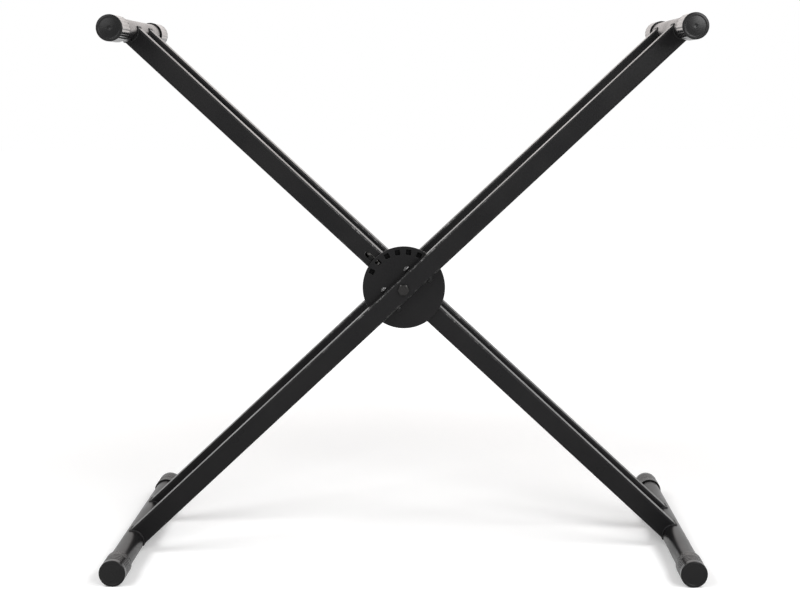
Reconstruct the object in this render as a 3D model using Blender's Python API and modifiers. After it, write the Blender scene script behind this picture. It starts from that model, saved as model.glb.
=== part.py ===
"""X-style keyboard stand with two braced pairs of legs, a locking disc and a spring latch.

Metres, +Z up. The origin is on the floor under the pivot. The front of the stand, where
the locking disc is, faces -Y. The outer pair of legs rises to the right and the inner
pair rises to the left. Run it with blender --background --python part.py
"""
import math

import bmesh
import bpy
from mathutils import Matrix

# Fits
SEAT_GAP = 0.0003        # between pieces that touch
SWING_GAP = 0.0015       # beside the latch lever where it swings in a slot
SIDE_GAP = 0.0005        # on each flank of the latch lever
CUT_THROUGH = 2.0        # a cutter is this many times as long as what it passes through

# Legs: square steel tube, one front and one rear leg in each pair
LEG_LENGTH = 0.9606      # between the axes of a pair's support bar and base bar
REST_ANGLE = math.radians(43.0)   # slope of the legs above the floor
LEG_SECTION = 0.0254
LEG_WALL = 0.0015
LEG_CORNER = 0.0026      # outside radius of the tube's corners
INNER_LEG_Y = 0.0485     # distance of the inner legs from the middle plane

# Cross bars: round steel tube, coped onto by the legs
BAR_RADIUS = 0.014
BAR_WALL = 0.0015
SUPPORT_SPAN = 0.383     # length over the caps of a support bar, at the top
BASE_SPAN = 0.507        # length over the caps of a base bar, on the floor
ROUND_SIDES = 30         # two more than a multiple of four, so a flat lies on the floor

# Rubber caps on the ends of the cross bars
CAP_RADIUS = 0.0163
CAP_END_WALL = 0.0045
CAP_RIM_ROUND = 0.0026
CAP_RIM_WIDTH = 0.0046   # width of the raised ring round the end face
CAP_FACE_SINK = 0.0009   # depth of the line between that ring and the domed middle
CAP_FACE_LINE = 0.0006   # width of that line's outer slope
CAP_RING_SINK = 0.0002   # the raised ring lies this far below the dome's top
CAP_DOME_EDGE = 0.0094   # radius where the dome starts to fall to the line
CAP_DOME_SINK = 0.0003   # how far the dome has sunk there
SUPPORT_CAP_LENGTH = 0.056
FOOT_CAP_LENGTH = 0.049
FOOT_CAP_GROOVES = 4         # ring grooves round a foot cap
FOOT_CAP_GROOVE = 0.012      # from the end face to the first of them
FOOT_CAP_PITCH = 0.0062      # from one to the next
CAP_GROOVE_DEPTH = 0.0006
CAP_GROOVE_WIDTH = 0.0020

# Locking disc, on the inner face of the outer front leg
DISC_RADIUS = 0.053
DISC_THICKNESS = 0.003
DISC_SIDES = 62
LOCK_CIRCLE = 0.0457     # radius to the middle of the lock holes
LOCK_PITCH = math.radians(17.8)
LOCK_WIDER = 1           # lock positions wider than the one in use
LOCK_CLOSER = 5          # lock positions between this one and folded flat
LOCK_LEAN = math.radians(1.3)     # the tooth bears on the far flank of its hole
LOCK_HOLE_HEIGHT = 0.0066
LOCK_HOLE_WIDTH = 0.0064

# Nylon spacer disc, between the locking disc and the inner front leg
SPACER_DISC_RADIUS = 0.052
SPACER_DISC_THICKNESS = 0.006

# Pivot bolts and what is on them
BOLT_RADIUS = 0.004
BOLT_SIDES = 18
HEX_SIDES = 6
BOLT_HEAD_RADIUS = 0.0075
BOLT_HEAD_HEIGHT = 0.0053
BOLT_HEAD_CHAMFER = 0.0010
BOLT_STICK_OUT = 0.0025
NUT_HEIGHT = 0.008
NUT_RADIUS = 0.0075
NUT_WASHER_RADIUS = 0.0085
NUT_WASHER_THICKNESS = 0.0016
REAR_SPACER_RADIUS = 0.015
BUSHING_WALL = 0.0018

# Latch: a lever on a pin in the inner front leg, with a tooth that enters the disc
LEVER_PIN_AT = 0.095     # from the pivot, along the leg
LEVER_PIN_RADIUS = 0.0025
LEVER_THICKNESS = 0.0040
LEVER_DEPTH = 0.010
LEVER_ROUND = 0.0015
TOOTH_LENGTH = 0.0044    # along the leg
TOOTH_RECESS = 0.0002    # tip below the disc's front face when it is home
LATCH_SLOT_END = 0.0675  # far end of the slot in front of the lever
NECK_START = 0.002       # neck of the lever, past the pin
NECK_WIDTH = 0.008
HANDLE_CLEAR = 0.0092    # from the leg's rear face to the handle
HANDLE_DEPTH = 0.008
HANDLE_LENGTH = 0.070
GRIP_LENGTH = 0.050
GRIP_WALL = 0.003
GRIP_ROUND = 0.0025
SPRING_WIRE = 0.0006     # radius of the wire
SPRING_TURNS = 3.5
SPRING_SIDES = 14        # straight steps in one turn
SPRING_PITCH = 0.0018
SPRING_LEG = 0.014

# Worked-out places
CAP_FLAT = CAP_RADIUS * math.cos(math.pi / ROUND_SIDES)
PIVOT_Z = CAP_FLAT + LEG_LENGTH / 2 * math.sin(REST_ANGLE)
PAIR_GAP = DISC_THICKNESS + SPACER_DISC_THICKNESS + 3 * SEAT_GAP
OUTER_LEG_Y = INNER_LEG_Y + LEG_SECTION + PAIR_GAP
INNER_FACE_Y = INNER_LEG_Y + LEG_SECTION / 2      # inner leg, face towards the disc
OUTER_FACE_Y = OUTER_LEG_Y + LEG_SECTION / 2      # outer leg, face away from the middle
BACK_FACE_Y = INNER_LEG_Y - LEG_SECTION / 2       # inner leg, face towards the middle
DISC_FRONT_Y = OUTER_LEG_Y - LEG_SECTION / 2 - SEAT_GAP
DISC_BACK_Y = DISC_FRONT_Y - DISC_THICKNESS
OPEN_ANGLE = math.pi - 2 * REST_ANGLE             # between the pairs, above the pivot
BOLT_HOLE = BOLT_RADIUS + SEAT_GAP
TOOTH_PARKED_Y = DISC_BACK_Y - SEAT_GAP
TOOTH_HOME_Y = DISC_FRONT_Y - TOOTH_RECESS
TOOTH_ARM = LEVER_PIN_AT - LOCK_CIRCLE
LATCH_TURN = math.asin((TOOTH_HOME_Y - TOOTH_PARKED_Y) / TOOTH_ARM)
TOOTH_AT = LOCK_CIRCLE - (TOOTH_PARKED_Y - INNER_LEG_Y) * math.sin(LATCH_TURN)
HANDLE_FRONT_Y = BACK_FACE_Y - HANDLE_CLEAR


def clear_scene():
    """Remove whatever the file holds."""
    for old in list(bpy.data.objects):
        bpy.data.objects.remove(old, do_unlink=True)


def new_collection(name):
    """Make a collection under the scene's own."""
    made = bpy.data.collections.new(name)
    bpy.context.scene.collection.children.link(made)
    return made


def new_material(name, color, roughness, metallic):
    """Make a Principled material."""
    made = bpy.data.materials.new(name)
    made.use_nodes = True
    shader = made.node_tree.nodes["Principled BSDF"]
    shader.inputs["Base Color"].default_value = (*color, 1.0)
    shader.inputs["Roughness"].default_value = roughness
    shader.inputs["Metallic"].default_value = metallic
    return made


def new_pair(name, slope):
    """Make the empty of a pair of legs: its +X runs up the legs and its origin is the pivot."""
    empty = bpy.data.objects.new(name, None)
    parts.objects.link(empty)
    empty.location = (0, 0, PIVOT_Z)
    empty.rotation_euler = (0, -slope, 0)
    return empty


def add_object(name, data, material, parent, location=(0, 0, 0), rotation=(0, 0, 0)):
    """Put a mesh or curve in the model, placed in its parent's frame."""
    made = bpy.data.objects.new(name, data)
    data.materials.append(material)
    parts.objects.link(made)
    made.parent = parent
    made.location = location
    made.rotation_euler = rotation
    return made


def add_cutter(name, data, parent, location=(0, 0, 0), rotation=(0, 0, 0)):
    """Put a hidden solid among the cutters."""
    made = bpy.data.objects.new(name, data)
    cutters.objects.link(made)
    made.parent = parent
    made.location = location
    made.rotation_euler = rotation
    made.hide_render = True
    made.display_type = "WIRE"
    return made


def shape_with(body, tool, operation="DIFFERENCE"):
    """Cut a tool out of a body, or join it on."""
    modifier = body.modifiers.new(tool.name, "BOOLEAN")
    modifier.object = tool
    modifier.operation = operation
    modifier.solver = "EXACT"


def finish_mesh(name, bm, crease=35):
    """Turn a bmesh into a mesh, smooth but for its sharp edges."""
    mesh = bpy.data.meshes.new(name)
    bm.to_mesh(mesh)
    bm.free()
    mesh.shade_smooth()
    mesh.set_sharp_from_angle(angle=math.radians(crease))
    return mesh


def box_mesh(name, low, high, corner=0.0, corner_steps=2):
    """Make a box between two corners, its edges along X rounded by the corner radius."""
    bm = bmesh.new()
    bmesh.ops.create_cube(bm, size=1.0)
    for vert in bm.verts:
        for axis in range(3):
            middle = (low[axis] + high[axis]) / 2
            vert.co[axis] = middle + vert.co[axis] * (high[axis] - low[axis])
    if corner > 0:
        long_edges = [
            edge for edge in bm.edges
            if abs(edge.verts[0].co.x - edge.verts[1].co.x) > abs(high[0] - low[0]) / 2
        ]
        bmesh.ops.bevel(bm, geom=long_edges, offset=corner, segments=corner_steps,
                        profile=0.5, affect="EDGES", clamp_overlap=True)
    return finish_mesh(name, bm)


def new_cylinder(radius, length, sides):
    """Make a cylinder along Z with a corner on +X, still as a bmesh."""
    bm = bmesh.new()
    bmesh.ops.create_cone(bm, cap_ends=True, segments=sides, radius1=radius,
                          radius2=radius, depth=length)
    turn = Matrix.Rotation(math.pi / sides, 3, "Z")
    bmesh.ops.rotate(bm, verts=bm.verts, cent=(0, 0, 0), matrix=turn)
    return bm


def rod_mesh(name, radius, length, sides=ROUND_SIDES):
    """Make a plain cylinder along Z."""
    return finish_mesh(name, new_cylinder(radius, length, sides))


def hex_mesh(name, radius, height, chamfer):
    """Make a hexagon along Z, two corners level with its middle, its top edge chamfered."""
    bm = new_cylinder(radius, height, HEX_SIDES)
    top_edges = [edge for edge in bm.edges if all(vert.co.z > 0 for vert in edge.verts)]
    if chamfer > 0:
        bmesh.ops.bevel(bm, geom=top_edges, offset=chamfer, segments=1, profile=0.5,
                        affect="EDGES")
    return finish_mesh(name, bm)


def turned_mesh(name, profile, closed=False):
    """Make the half section of a turned piece: (radius, height) points from the top down."""
    mesh = bpy.data.meshes.new(name)
    points = [(radius, 0.0, height) for radius, height in profile]
    edges = [(i, i + 1) for i in range(len(points) - 1)]
    if closed:
        edges.append((len(points) - 1, 0))
    mesh.from_pydata(points, edges, [])
    return mesh


def spin(body, sides=ROUND_SIDES):
    """Turn a half section about its own Z axis."""
    modifier = body.modifiers.new("turned", "SCREW")
    modifier.axis = "Z"
    modifier.angle = 2 * math.pi
    modifier.steps = sides
    modifier.render_steps = sides
    modifier.use_merge_vertices = True
    modifier.merge_threshold = 0.00005
    modifier.use_smooth_shade = True


def along_y(slope, front=True):
    """Turn a piece's Z axis to the front or rear, level in a pair with this slope."""
    return (math.pi / 2 if front else -math.pi / 2, slope, 0)


def plate_ring(name, outer, inner, thickness):
    """Make the half section of a flat ring about Z, centred on its thickness."""
    half = thickness / 2
    return turned_mesh(name, [(outer, half), (outer, -half), (inner, -half), (inner, half)],
                       closed=True)


def make_leg(name, pair, slope, y):
    """One square leg, hollow, coped to both cross bars and drilled for the pivot bolt."""
    half = LEG_SECTION / 2
    bore = half - LEG_WALL
    reach = LEG_LENGTH / 2
    leg = add_object(name, box_mesh(name, (-reach, -half, -half), (reach, half, half),
                                    LEG_CORNER), paint, pair, (0, y, 0))
    hollow = box_mesh(name + "_hollow", (-LEG_LENGTH, -bore, -bore), (LEG_LENGTH, bore, bore),
                      max(LEG_CORNER - LEG_WALL, SEAT_GAP))
    shape_with(leg, add_cutter(name + "_hollow", hollow, pair, (0, y, 0)))
    for end, where in (("upper", reach), ("lower", -reach)):
        cope = rod_mesh(name + "_" + end + "_cope", BAR_RADIUS + SEAT_GAP,
                        CUT_THROUGH * LEG_SECTION)
        shape_with(leg, add_cutter(name + "_" + end + "_cope", cope, pair, (where, y, 0),
                                   along_y(slope)))
    hole = rod_mesh(name + "_bolt_hole", BOLT_HOLE, CUT_THROUGH * LEG_SECTION, BOLT_SIDES)
    shape_with(leg, add_cutter(name + "_bolt_hole", hole, pair, (0, y, 0), along_y(slope)))
    return leg


def make_bar(name, pair, slope, x, span):
    """One round cross bar, open at both ends, inside its two caps."""
    half = span / 2 - CAP_END_WALL - SEAT_GAP
    bore = BAR_RADIUS - BAR_WALL
    section = [(BAR_RADIUS, half), (BAR_RADIUS, -half), (bore, -half), (bore, half)]
    bar = add_object(name, turned_mesh(name, section, closed=True), paint, pair,
                     (x, 0, 0), along_y(slope))
    spin(bar)


def face_profile():
    """The end face of a cap: domed middle, sunk line, raised ring and rounded rim."""
    ring = CAP_RADIUS - CAP_RIM_WIDTH
    crown = CAP_RADIUS - CAP_RIM_ROUND
    slant = CAP_RIM_ROUND * (1 - math.cos(math.radians(45)))
    return [
        (0.0, 0.0),
        (CAP_DOME_EDGE, -CAP_DOME_SINK),
        (ring, -CAP_FACE_SINK),
        (ring + CAP_FACE_LINE, -CAP_RING_SINK),
        (crown, -CAP_RING_SINK),
        (CAP_RADIUS - slant, -slant),
        (CAP_RADIUS, -CAP_RIM_ROUND),
    ]


def groove_profile(depth_at):
    """A ring groove round a cap, its middle at this distance from the end face."""
    half = CAP_GROOVE_WIDTH / 2
    return [
        (CAP_RADIUS, -(depth_at - half)),
        (CAP_RADIUS - CAP_GROOVE_DEPTH, -depth_at),
        (CAP_RADIUS, -(depth_at + half)),
    ]


def cap_profile(length, grooves=0):
    """A straight cap: end face, ring grooves, open end, bore and inside of the end wall."""
    bore = BAR_RADIUS + SEAT_GAP
    profile = face_profile()
    for i in range(grooves):
        profile += groove_profile(FOOT_CAP_GROOVE + i * FOOT_CAP_PITCH)
    return profile + [(CAP_RADIUS, -length), (bore, -length), (bore, -CAP_END_WALL),
                      (0.0, -CAP_END_WALL)]


def make_caps(name, pair, slope, x, span, profile):
    """The front and rear caps of one cross bar."""
    for end, side in (("front", -1), ("rear", 1)):
        cap_name = name + "_" + end
        cap = add_object(cap_name, turned_mesh(cap_name, profile), rubber, pair,
                         (x, side * span / 2, 0), along_y(slope, side < 0))
        spin(cap)


def make_frame(pair, slope, y, title, support_side, base_side):
    """The two legs of a pair with its cross bars and caps."""
    reach = LEG_LENGTH / 2
    legs = [make_leg(title + "_front_leg", pair, slope, -y),
            make_leg(title + "_rear_leg", pair, slope, y)]
    make_bar(support_side + "_support_bar", pair, slope, reach, SUPPORT_SPAN)
    make_bar(base_side + "_base_bar", pair, slope, -reach, BASE_SPAN)
    make_caps(support_side + "_support_cap", pair, slope, reach, SUPPORT_SPAN,
              cap_profile(SUPPORT_CAP_LENGTH))
    make_caps(base_side + "_foot_cap", pair, slope, -reach, BASE_SPAN,
              cap_profile(FOOT_CAP_LENGTH, FOOT_CAP_GROOVES))
    return legs


def make_disc():
    """The locking disc: a flat plate with a bolt hole and a row of lock holes."""
    middle = -(DISC_FRONT_Y + DISC_BACK_Y) / 2
    disc = add_object("locking_disc", rod_mesh("locking_disc", DISC_RADIUS, DISC_THICKNESS,
                                               DISC_SIDES), paint, outer_pair,
                      (0, middle, 0), along_y(REST_ANGLE))
    hole = rod_mesh("disc_bolt_hole", BOLT_HOLE, CUT_THROUGH * DISC_THICKNESS, BOLT_SIDES)
    shape_with(disc, add_cutter("disc_bolt_hole", hole, outer_pair, (0, middle, 0),
                                along_y(REST_ANGLE)))
    for step in range(-LOCK_CLOSER, LOCK_WIDER + 1):
        angle = OPEN_ANGLE - LOCK_LEAN + step * LOCK_PITCH
        half_height = LOCK_HOLE_HEIGHT / 2
        half_width = LOCK_HOLE_WIDTH / 2
        window = box_mesh("lock_hole", (LOCK_CIRCLE - half_height, -DISC_THICKNESS, -half_width),
                          (LOCK_CIRCLE + half_height, DISC_THICKNESS, half_width))
        shape_with(disc, add_cutter("lock_hole", window, outer_pair, (0, middle, 0),
                                    (0, -angle, 0)))


def make_bolt(name, side):
    """A hexagon bolt from the outer leg's face to past the nut on the inner leg."""
    front = side < 0
    seat = OUTER_FACE_Y + SEAT_GAP
    stack = 2 * SEAT_GAP + NUT_WASHER_THICKNESS + NUT_HEIGHT + BOLT_STICK_OUT
    tip = BACK_FACE_Y - stack
    overlap = BOLT_HEAD_HEIGHT / 2
    length = seat + overlap - tip
    shank = rod_mesh(name, BOLT_RADIUS, length, BOLT_SIDES)
    bolt = add_object(name, shank, fastener, outer_pair,
                      (0, side * (tip + length / 2), 0), along_y(REST_ANGLE, front))
    head = hex_mesh(name + "_head", BOLT_HEAD_RADIUS, BOLT_HEAD_HEIGHT, BOLT_HEAD_CHAMFER)
    shape_with(bolt, add_cutter(name + "_head", head, outer_pair,
                                (0, side * (seat + BOLT_HEAD_HEIGHT / 2), 0),
                                along_y(REST_ANGLE, front)), "UNION")


def make_nut(name, side):
    """The lock nut on a pivot bolt, with its hole clear of the shank."""
    front = side < 0
    near = BACK_FACE_Y - 2 * SEAT_GAP - NUT_WASHER_THICKNESS
    where = (0, side * (near - NUT_HEIGHT / 2), 0)
    nut = add_object(name, hex_mesh(name, NUT_RADIUS, NUT_HEIGHT, 0.0), fastener, outer_pair,
                     where, along_y(REST_ANGLE, not front))
    hole = rod_mesh(name + "_hole", BOLT_HOLE, CUT_THROUGH * NUT_HEIGHT, BOLT_SIDES)
    shape_with(nut, add_cutter(name + "_hole", hole, outer_pair, where, along_y(REST_ANGLE)))


def make_ring(name, material, parent, slope, outer, thickness, y, sides=BOLT_SIDES):
    """A flat ring on a pivot bolt, centred at y."""
    ring = add_object(name, plate_ring(name, outer, BOLT_HOLE, thickness), material, parent,
                      (0, y, 0), along_y(slope))
    spin(ring, sides)
    return ring


def make_spacers():
    """The nylon disc that keeps the front legs apart, open for the tooth, and the rear spacer."""
    inner_slope = math.pi - REST_ANGLE
    middle = INNER_FACE_Y + SEAT_GAP + SPACER_DISC_THICKNESS / 2
    disc = make_ring("front_spacer_disc", nylon, inner_pair, inner_slope, SPACER_DISC_RADIUS,
                     SPACER_DISC_THICKNESS, -middle, DISC_SIDES)
    half = LEVER_THICKNESS / 2 + SIDE_GAP
    start = TOOTH_AT - TOOTH_LENGTH / 2 - SWING_GAP
    end = LOCK_CIRCLE + TOOTH_LENGTH / 2 + SWING_GAP
    window = box_mesh("spacer_window", (start, -middle - SPACER_DISC_THICKNESS, -half),
                      (end, -middle + SPACER_DISC_THICKNESS, half))
    shape_with(disc, add_cutter("spacer_window", window, inner_pair))
    thickness = PAIR_GAP - 2 * SEAT_GAP
    make_ring("rear_spacer", nylon, inner_pair, inner_slope, REAR_SPACER_RADIUS, thickness,
              INNER_FACE_Y + SEAT_GAP + thickness / 2)


def make_pivot(side, title):
    """A pivot bolt with its bushing, washer and nut."""
    make_ring(title + "_pivot_bushing", steel, inner_pair, math.pi - REST_ANGLE,
              BOLT_HOLE + BUSHING_WALL, LEG_SECTION - 2 * LEG_WALL - 2 * SEAT_GAP,
              side * INNER_LEG_Y)
    washer_y = side * (BACK_FACE_Y - SEAT_GAP - NUT_WASHER_THICKNESS / 2)
    make_ring(title + "_nut_washer", fastener, outer_pair, REST_ANGLE, NUT_WASHER_RADIUS,
              NUT_WASHER_THICKNESS, washer_y)
    make_bolt(title + "_pivot_bolt", side)
    make_nut(title + "_lock_nut", side)


def cut_latch_slots(leg):
    """Open the inner front leg for the tooth, the lever's neck and the pin."""
    half = LEVER_THICKNESS / 2 + SIDE_GAP
    tooth_start = TOOTH_AT - TOOTH_LENGTH / 2 - SWING_GAP
    front = box_mesh("tooth_slot", (tooth_start, -INNER_FACE_Y - LEG_WALL, -half),
                     (LATCH_SLOT_END, -INNER_FACE_Y + CUT_THROUGH * LEG_WALL, half))
    shape_with(leg, add_cutter("tooth_slot", front, inner_pair))
    neck_start = LEVER_PIN_AT + NECK_START
    rear = box_mesh("neck_slot",
                    (neck_start - SWING_GAP, -BACK_FACE_Y - CUT_THROUGH * LEG_WALL, -half),
                    (neck_start + NECK_WIDTH + SWING_GAP, -BACK_FACE_Y + LEG_WALL, half))
    shape_with(leg, add_cutter("neck_slot", rear, inner_pair))
    bore = rod_mesh("pin_hole", LEVER_PIN_RADIUS + SEAT_GAP, CUT_THROUGH * LEG_SECTION,
                    BOLT_SIDES)
    shape_with(leg, add_cutter("pin_hole", bore, inner_pair,
                               (LEVER_PIN_AT, -INNER_LEG_Y, 0)))


def round_outline(corners, radius, steps=3):
    """Replace each corner of a polygon by an arc of this radius."""
    outline = []
    count = len(corners)
    for i, corner in enumerate(corners):
        before = corners[i - 1]
        after = corners[(i + 1) % count]
        arms = []
        for other in (before, after):
            dx = other[0] - corner[0]
            dy = other[1] - corner[1]
            size = math.hypot(dx, dy)
            arms.append((dx / size, dy / size))
        for step in range(steps + 1):
            turn = step / steps * math.pi / 2
            away = radius * (1 - math.sin(turn))
            along = radius * (1 - math.cos(turn))
            outline.append((corner[0] + arms[0][0] * away + arms[1][0] * along,
                            corner[1] + arms[0][1] * away + arms[1][1] * along))
    return outline


def add_loop(curve, points):
    """Add a closed outline to a flat curve."""
    spline = curve.splines.new("POLY")
    spline.points.add(len(points) - 1)
    for target, (x, y) in zip(spline.points, points):
        target.co = (x, y, 0, 1)
    spline.use_cyclic_u = True


def make_lever(latch):
    """The latch lever: tooth, arm, neck and handle in one bent plate."""
    pin_y = -INNER_LEG_Y
    tip = -TOOTH_PARKED_Y
    tooth_low = TOOTH_AT - TOOTH_LENGTH / 2 - LEVER_PIN_AT
    tooth_high = TOOTH_AT + TOOTH_LENGTH / 2 - LEVER_PIN_AT
    neck_far = NECK_START + NECK_WIDTH
    handle_front = -HANDLE_FRONT_Y - pin_y
    handle_back = handle_front + HANDLE_DEPTH
    corners = [
        (tooth_low, tip - pin_y),
        (tooth_high, tip - pin_y),
        (tooth_high, -LEVER_DEPTH / 2),
        (neck_far, -LEVER_DEPTH / 2),
        (neck_far, handle_front),
        (HANDLE_LENGTH, handle_front),
        (HANDLE_LENGTH, handle_back),
        (NECK_START, handle_back),
        (NECK_START, LEVER_DEPTH / 2),
        (tooth_low, LEVER_DEPTH / 2),
    ]
    curve = bpy.data.curves.new("latch_lever", "CURVE")
    curve.dimensions = "2D"
    curve.fill_mode = "BOTH"
    curve.extrude = LEVER_THICKNESS / 2
    add_loop(curve, round_outline(corners, LEVER_ROUND))
    hole = LEVER_PIN_RADIUS + SEAT_GAP
    add_loop(curve, [(hole * math.cos(2 * math.pi * i / BOLT_SIDES),
                      hole * math.sin(2 * math.pi * i / BOLT_SIDES)) for i in range(BOLT_SIDES)])
    add_object("latch_lever", curve, fastener, latch)


def make_grip(latch):
    """The rubber grip: a rounded sleeve, closed at its end, on the handle."""
    handle_front = INNER_LEG_Y - HANDLE_FRONT_Y
    start = HANDLE_LENGTH - GRIP_LENGTH
    end = HANDLE_LENGTH + SEAT_GAP + GRIP_WALL
    half = LEVER_THICKNESS / 2 + SEAT_GAP
    low = (start, handle_front - SEAT_GAP - GRIP_WALL, -half - GRIP_WALL)
    high = (end, handle_front + HANDLE_DEPTH + SEAT_GAP + GRIP_WALL, half + GRIP_WALL)
    grip = add_object("latch_grip", box_mesh("latch_grip", low, high), rubber, latch)
    rounding = grip.modifiers.new("rounded", "BEVEL")
    rounding.width = GRIP_ROUND
    rounding.segments = 2
    pocket = box_mesh("grip_pocket", (start - GRIP_WALL, handle_front - SEAT_GAP, -half),
                      (HANDLE_LENGTH + SEAT_GAP, handle_front + HANDLE_DEPTH + SEAT_GAP, half))
    shape_with(grip, add_cutter("grip_pocket", pocket, latch))


def make_pin():
    """The pin that the lever turns on, flush with the leg's sides."""
    pin = rod_mesh("latch_pin", LEVER_PIN_RADIUS, LEG_SECTION - 2 * SEAT_GAP, BOLT_SIDES)
    add_object("latch_pin", pin, steel, inner_pair, (LEVER_PIN_AT, -INNER_LEG_Y, 0))


def make_spring(latch):
    """The torsion spring on the pin, beside the lever, with a leg along the arm."""
    coil = LEVER_PIN_RADIUS + SEAT_GAP + SPRING_WIRE
    start = LEVER_THICKNESS / 2 + SEAT_GAP + SPRING_WIRE
    count = int(SPRING_TURNS * SPRING_SIDES)
    points = [(-SPRING_LEG, -coil, start)]
    for i in range(count + 1):
        turn = -math.pi / 2 + 2 * math.pi * i / SPRING_SIDES
        height = start + SPRING_PITCH * i / SPRING_SIDES
        points.append((coil * math.cos(turn), coil * math.sin(turn), height))
    points.append((-SPRING_LEG / 2, coil, start + SPRING_PITCH * SPRING_TURNS))
    curve = bpy.data.curves.new("latch_spring", "CURVE")
    curve.dimensions = "3D"
    curve.bevel_depth = SPRING_WIRE
    curve.bevel_resolution = 1
    curve.use_fill_caps = True
    spline = curve.splines.new("POLY")
    spline.points.add(len(points) - 1)
    for target, point in zip(spline.points, points):
        target.co = (*point, 1)
    add_object("latch_spring", curve, steel, latch)


clear_scene()
parts = new_collection("keyboard_stand")
cutters = new_collection("cutters")
paint = new_material("black_painted_steel", (0.030, 0.030, 0.032), 0.38, 0.0)
rubber = new_material("black_rubber", (0.040, 0.040, 0.042), 0.75, 0.0)
fastener = new_material("blackened_fastener", (0.060, 0.060, 0.062), 0.40, 0.8)
steel = new_material("bare_steel", (0.55, 0.55, 0.56), 0.35, 1.0)
nylon = new_material("dark_nylon", (0.080, 0.080, 0.080), 0.60, 0.0)

outer_pair = new_pair("outer_pair", REST_ANGLE)
inner_pair = new_pair("inner_pair", math.pi - REST_ANGLE)
latch_pivot = bpy.data.objects.new("latch_pivot", None)
parts.objects.link(latch_pivot)
latch_pivot.parent = inner_pair
latch_pivot.location = (LEVER_PIN_AT, -INNER_LEG_Y, 0)

make_frame(outer_pair, REST_ANGLE, OUTER_LEG_Y, "outer", "right", "left")
inner_legs = make_frame(inner_pair, math.pi - REST_ANGLE, INNER_LEG_Y, "inner", "left", "right")
make_disc()
make_spacers()
make_pivot(-1, "front")
make_pivot(1, "rear")
cut_latch_slots(inner_legs[0])
make_lever(latch_pivot)
make_grip(latch_pivot)
make_pin()
make_spring(latch_pivot)
bpy.context.view_layer.update()
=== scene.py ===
"""X-style keyboard stand: the finish of every surface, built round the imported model.

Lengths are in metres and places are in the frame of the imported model: +Z up, the locking
disc faces -Y and the floor is at z = 0. A new piece is a numpy surface whose points are
worked out in that frame, so its object stays at the origin.
"""

import math

import bmesh
import bpy
import numpy as np
from mathutils import Matrix, Vector


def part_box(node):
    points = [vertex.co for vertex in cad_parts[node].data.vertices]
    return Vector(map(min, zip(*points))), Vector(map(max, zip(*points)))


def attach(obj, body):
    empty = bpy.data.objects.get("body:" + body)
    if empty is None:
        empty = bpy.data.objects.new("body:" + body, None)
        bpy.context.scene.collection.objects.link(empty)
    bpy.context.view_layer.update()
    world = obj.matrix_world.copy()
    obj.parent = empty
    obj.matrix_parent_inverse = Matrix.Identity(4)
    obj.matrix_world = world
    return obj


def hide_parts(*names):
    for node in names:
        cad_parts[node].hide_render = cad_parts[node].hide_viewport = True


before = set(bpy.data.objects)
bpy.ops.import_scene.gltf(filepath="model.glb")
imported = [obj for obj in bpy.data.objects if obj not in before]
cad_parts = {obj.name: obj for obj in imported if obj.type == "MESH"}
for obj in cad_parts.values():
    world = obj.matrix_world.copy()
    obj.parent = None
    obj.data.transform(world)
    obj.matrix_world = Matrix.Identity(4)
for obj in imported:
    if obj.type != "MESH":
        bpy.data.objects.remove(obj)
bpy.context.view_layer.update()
scene = bpy.context.scene

TURN = 2 * math.pi
TOUCH = 0.0003               # gap between pieces that touch
SAME_POINT = 1e-7            # points nearer than this are one point
CREASE = math.radians(38)    # a sharper turn than this stays a sharp edge
BEVEL_TURN = math.radians(50)    # a sharper turn than this is rounded by a bevel

# Bends as tight as these count as whole corners, which handling wears down
TUBE_BEND = 0.003
RUBBER_BEND = 0.0012
SMALL_BEND = 0.0006
WELD_BEND = 0.0004
THIN_BEND = 0.0003

# Steel tubes
LEG_WALL = 0.0015
LEG_CORNER = 0.0026
LEG_HUB_REACH = 0.125        # the holes and slots lie within this distance of the pivot
LEG_HUB_STEP = 0.005         # between the rows of points there
LEG_END_ROWS = 0, 0.0004, 0.002, 0.006, 0.012, 0.025    # rows near an end, as shares of a leg
BAR_RADIUS = 0.014
BAR_WALL = 0.0015
BAR_SIDES = 96
BAR_END_ROUND = 0.0003
BAR_ROW_STEP = 0.03

# Rubber caps
CAP_RADIUS = 0.0163
CAP_END_WALL = 0.0045
CAP_RIM_ROUND = 0.0010       # rounding from the end face to the skirt
CAP_RIM_FALL = 0.0007        # how far the rim has fallen where it meets the skirt
CAP_RIM_EDGE = 0.0136        # radius where the rim round the face is highest
CAP_RIM_SINK = 0.0002        # the rim's top lies this far below the dome's
CAP_RIM_TOP_ROUND = 0.0020
CAP_VALLEY = 0.0121          # radius of the valley inside the rim
CAP_VALLEY_SINK = 0.0006
CAP_VALLEY_ROUND = 0.0025
CAP_DOME_EDGE = 0.0113       # radius of the domed middle
CAP_DOME_SINK = 0.0005       # how far the dome has fallen at its edge
CAP_DIMPLE_RADIUS = 0.0017   # small dimple in the dome's middle
CAP_DIMPLE_SINK = 0.0003
CAP_MOUTH_ROUND = 0.0005
CAP_BORE_ROUND = 0.0003
CAP_ROW_STEP = 0.0007
CAP_RELIEF_WALL = 0.0008, 0.0013    # the pattern comes in where the wall is this thick
SUPPORT_CAP_RIBS = 21
RIB_DEPTH = 0.00045
RIB_START = 0.0008, 0.0035   # a rib comes in between these distances from the face
RIB_FADE = 0.002             # and runs out over this length at the mouth
FOOT_CAP_GROOVE = 0.012      # from the end face to the first ring groove
FOOT_CAP_PITCH = 0.0062
FOOT_CAP_GROOVES = 4
GROOVE_DEPTH = 0.0006
GROOVE_WIDTH = 0.0020
HATCH_COUNT = 28             # diamonds round a foot cap, in the band behind its grooves
HATCH_PERIOD = 0.0088        # length of one diamond along the cap
HATCH_DEPTH = 0.00045
HATCH_START = 0.032
HATCH_FADE = 0.001
HATCH_MARGIN = 0.002         # plain lip between the diamonds and the mouth
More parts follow.
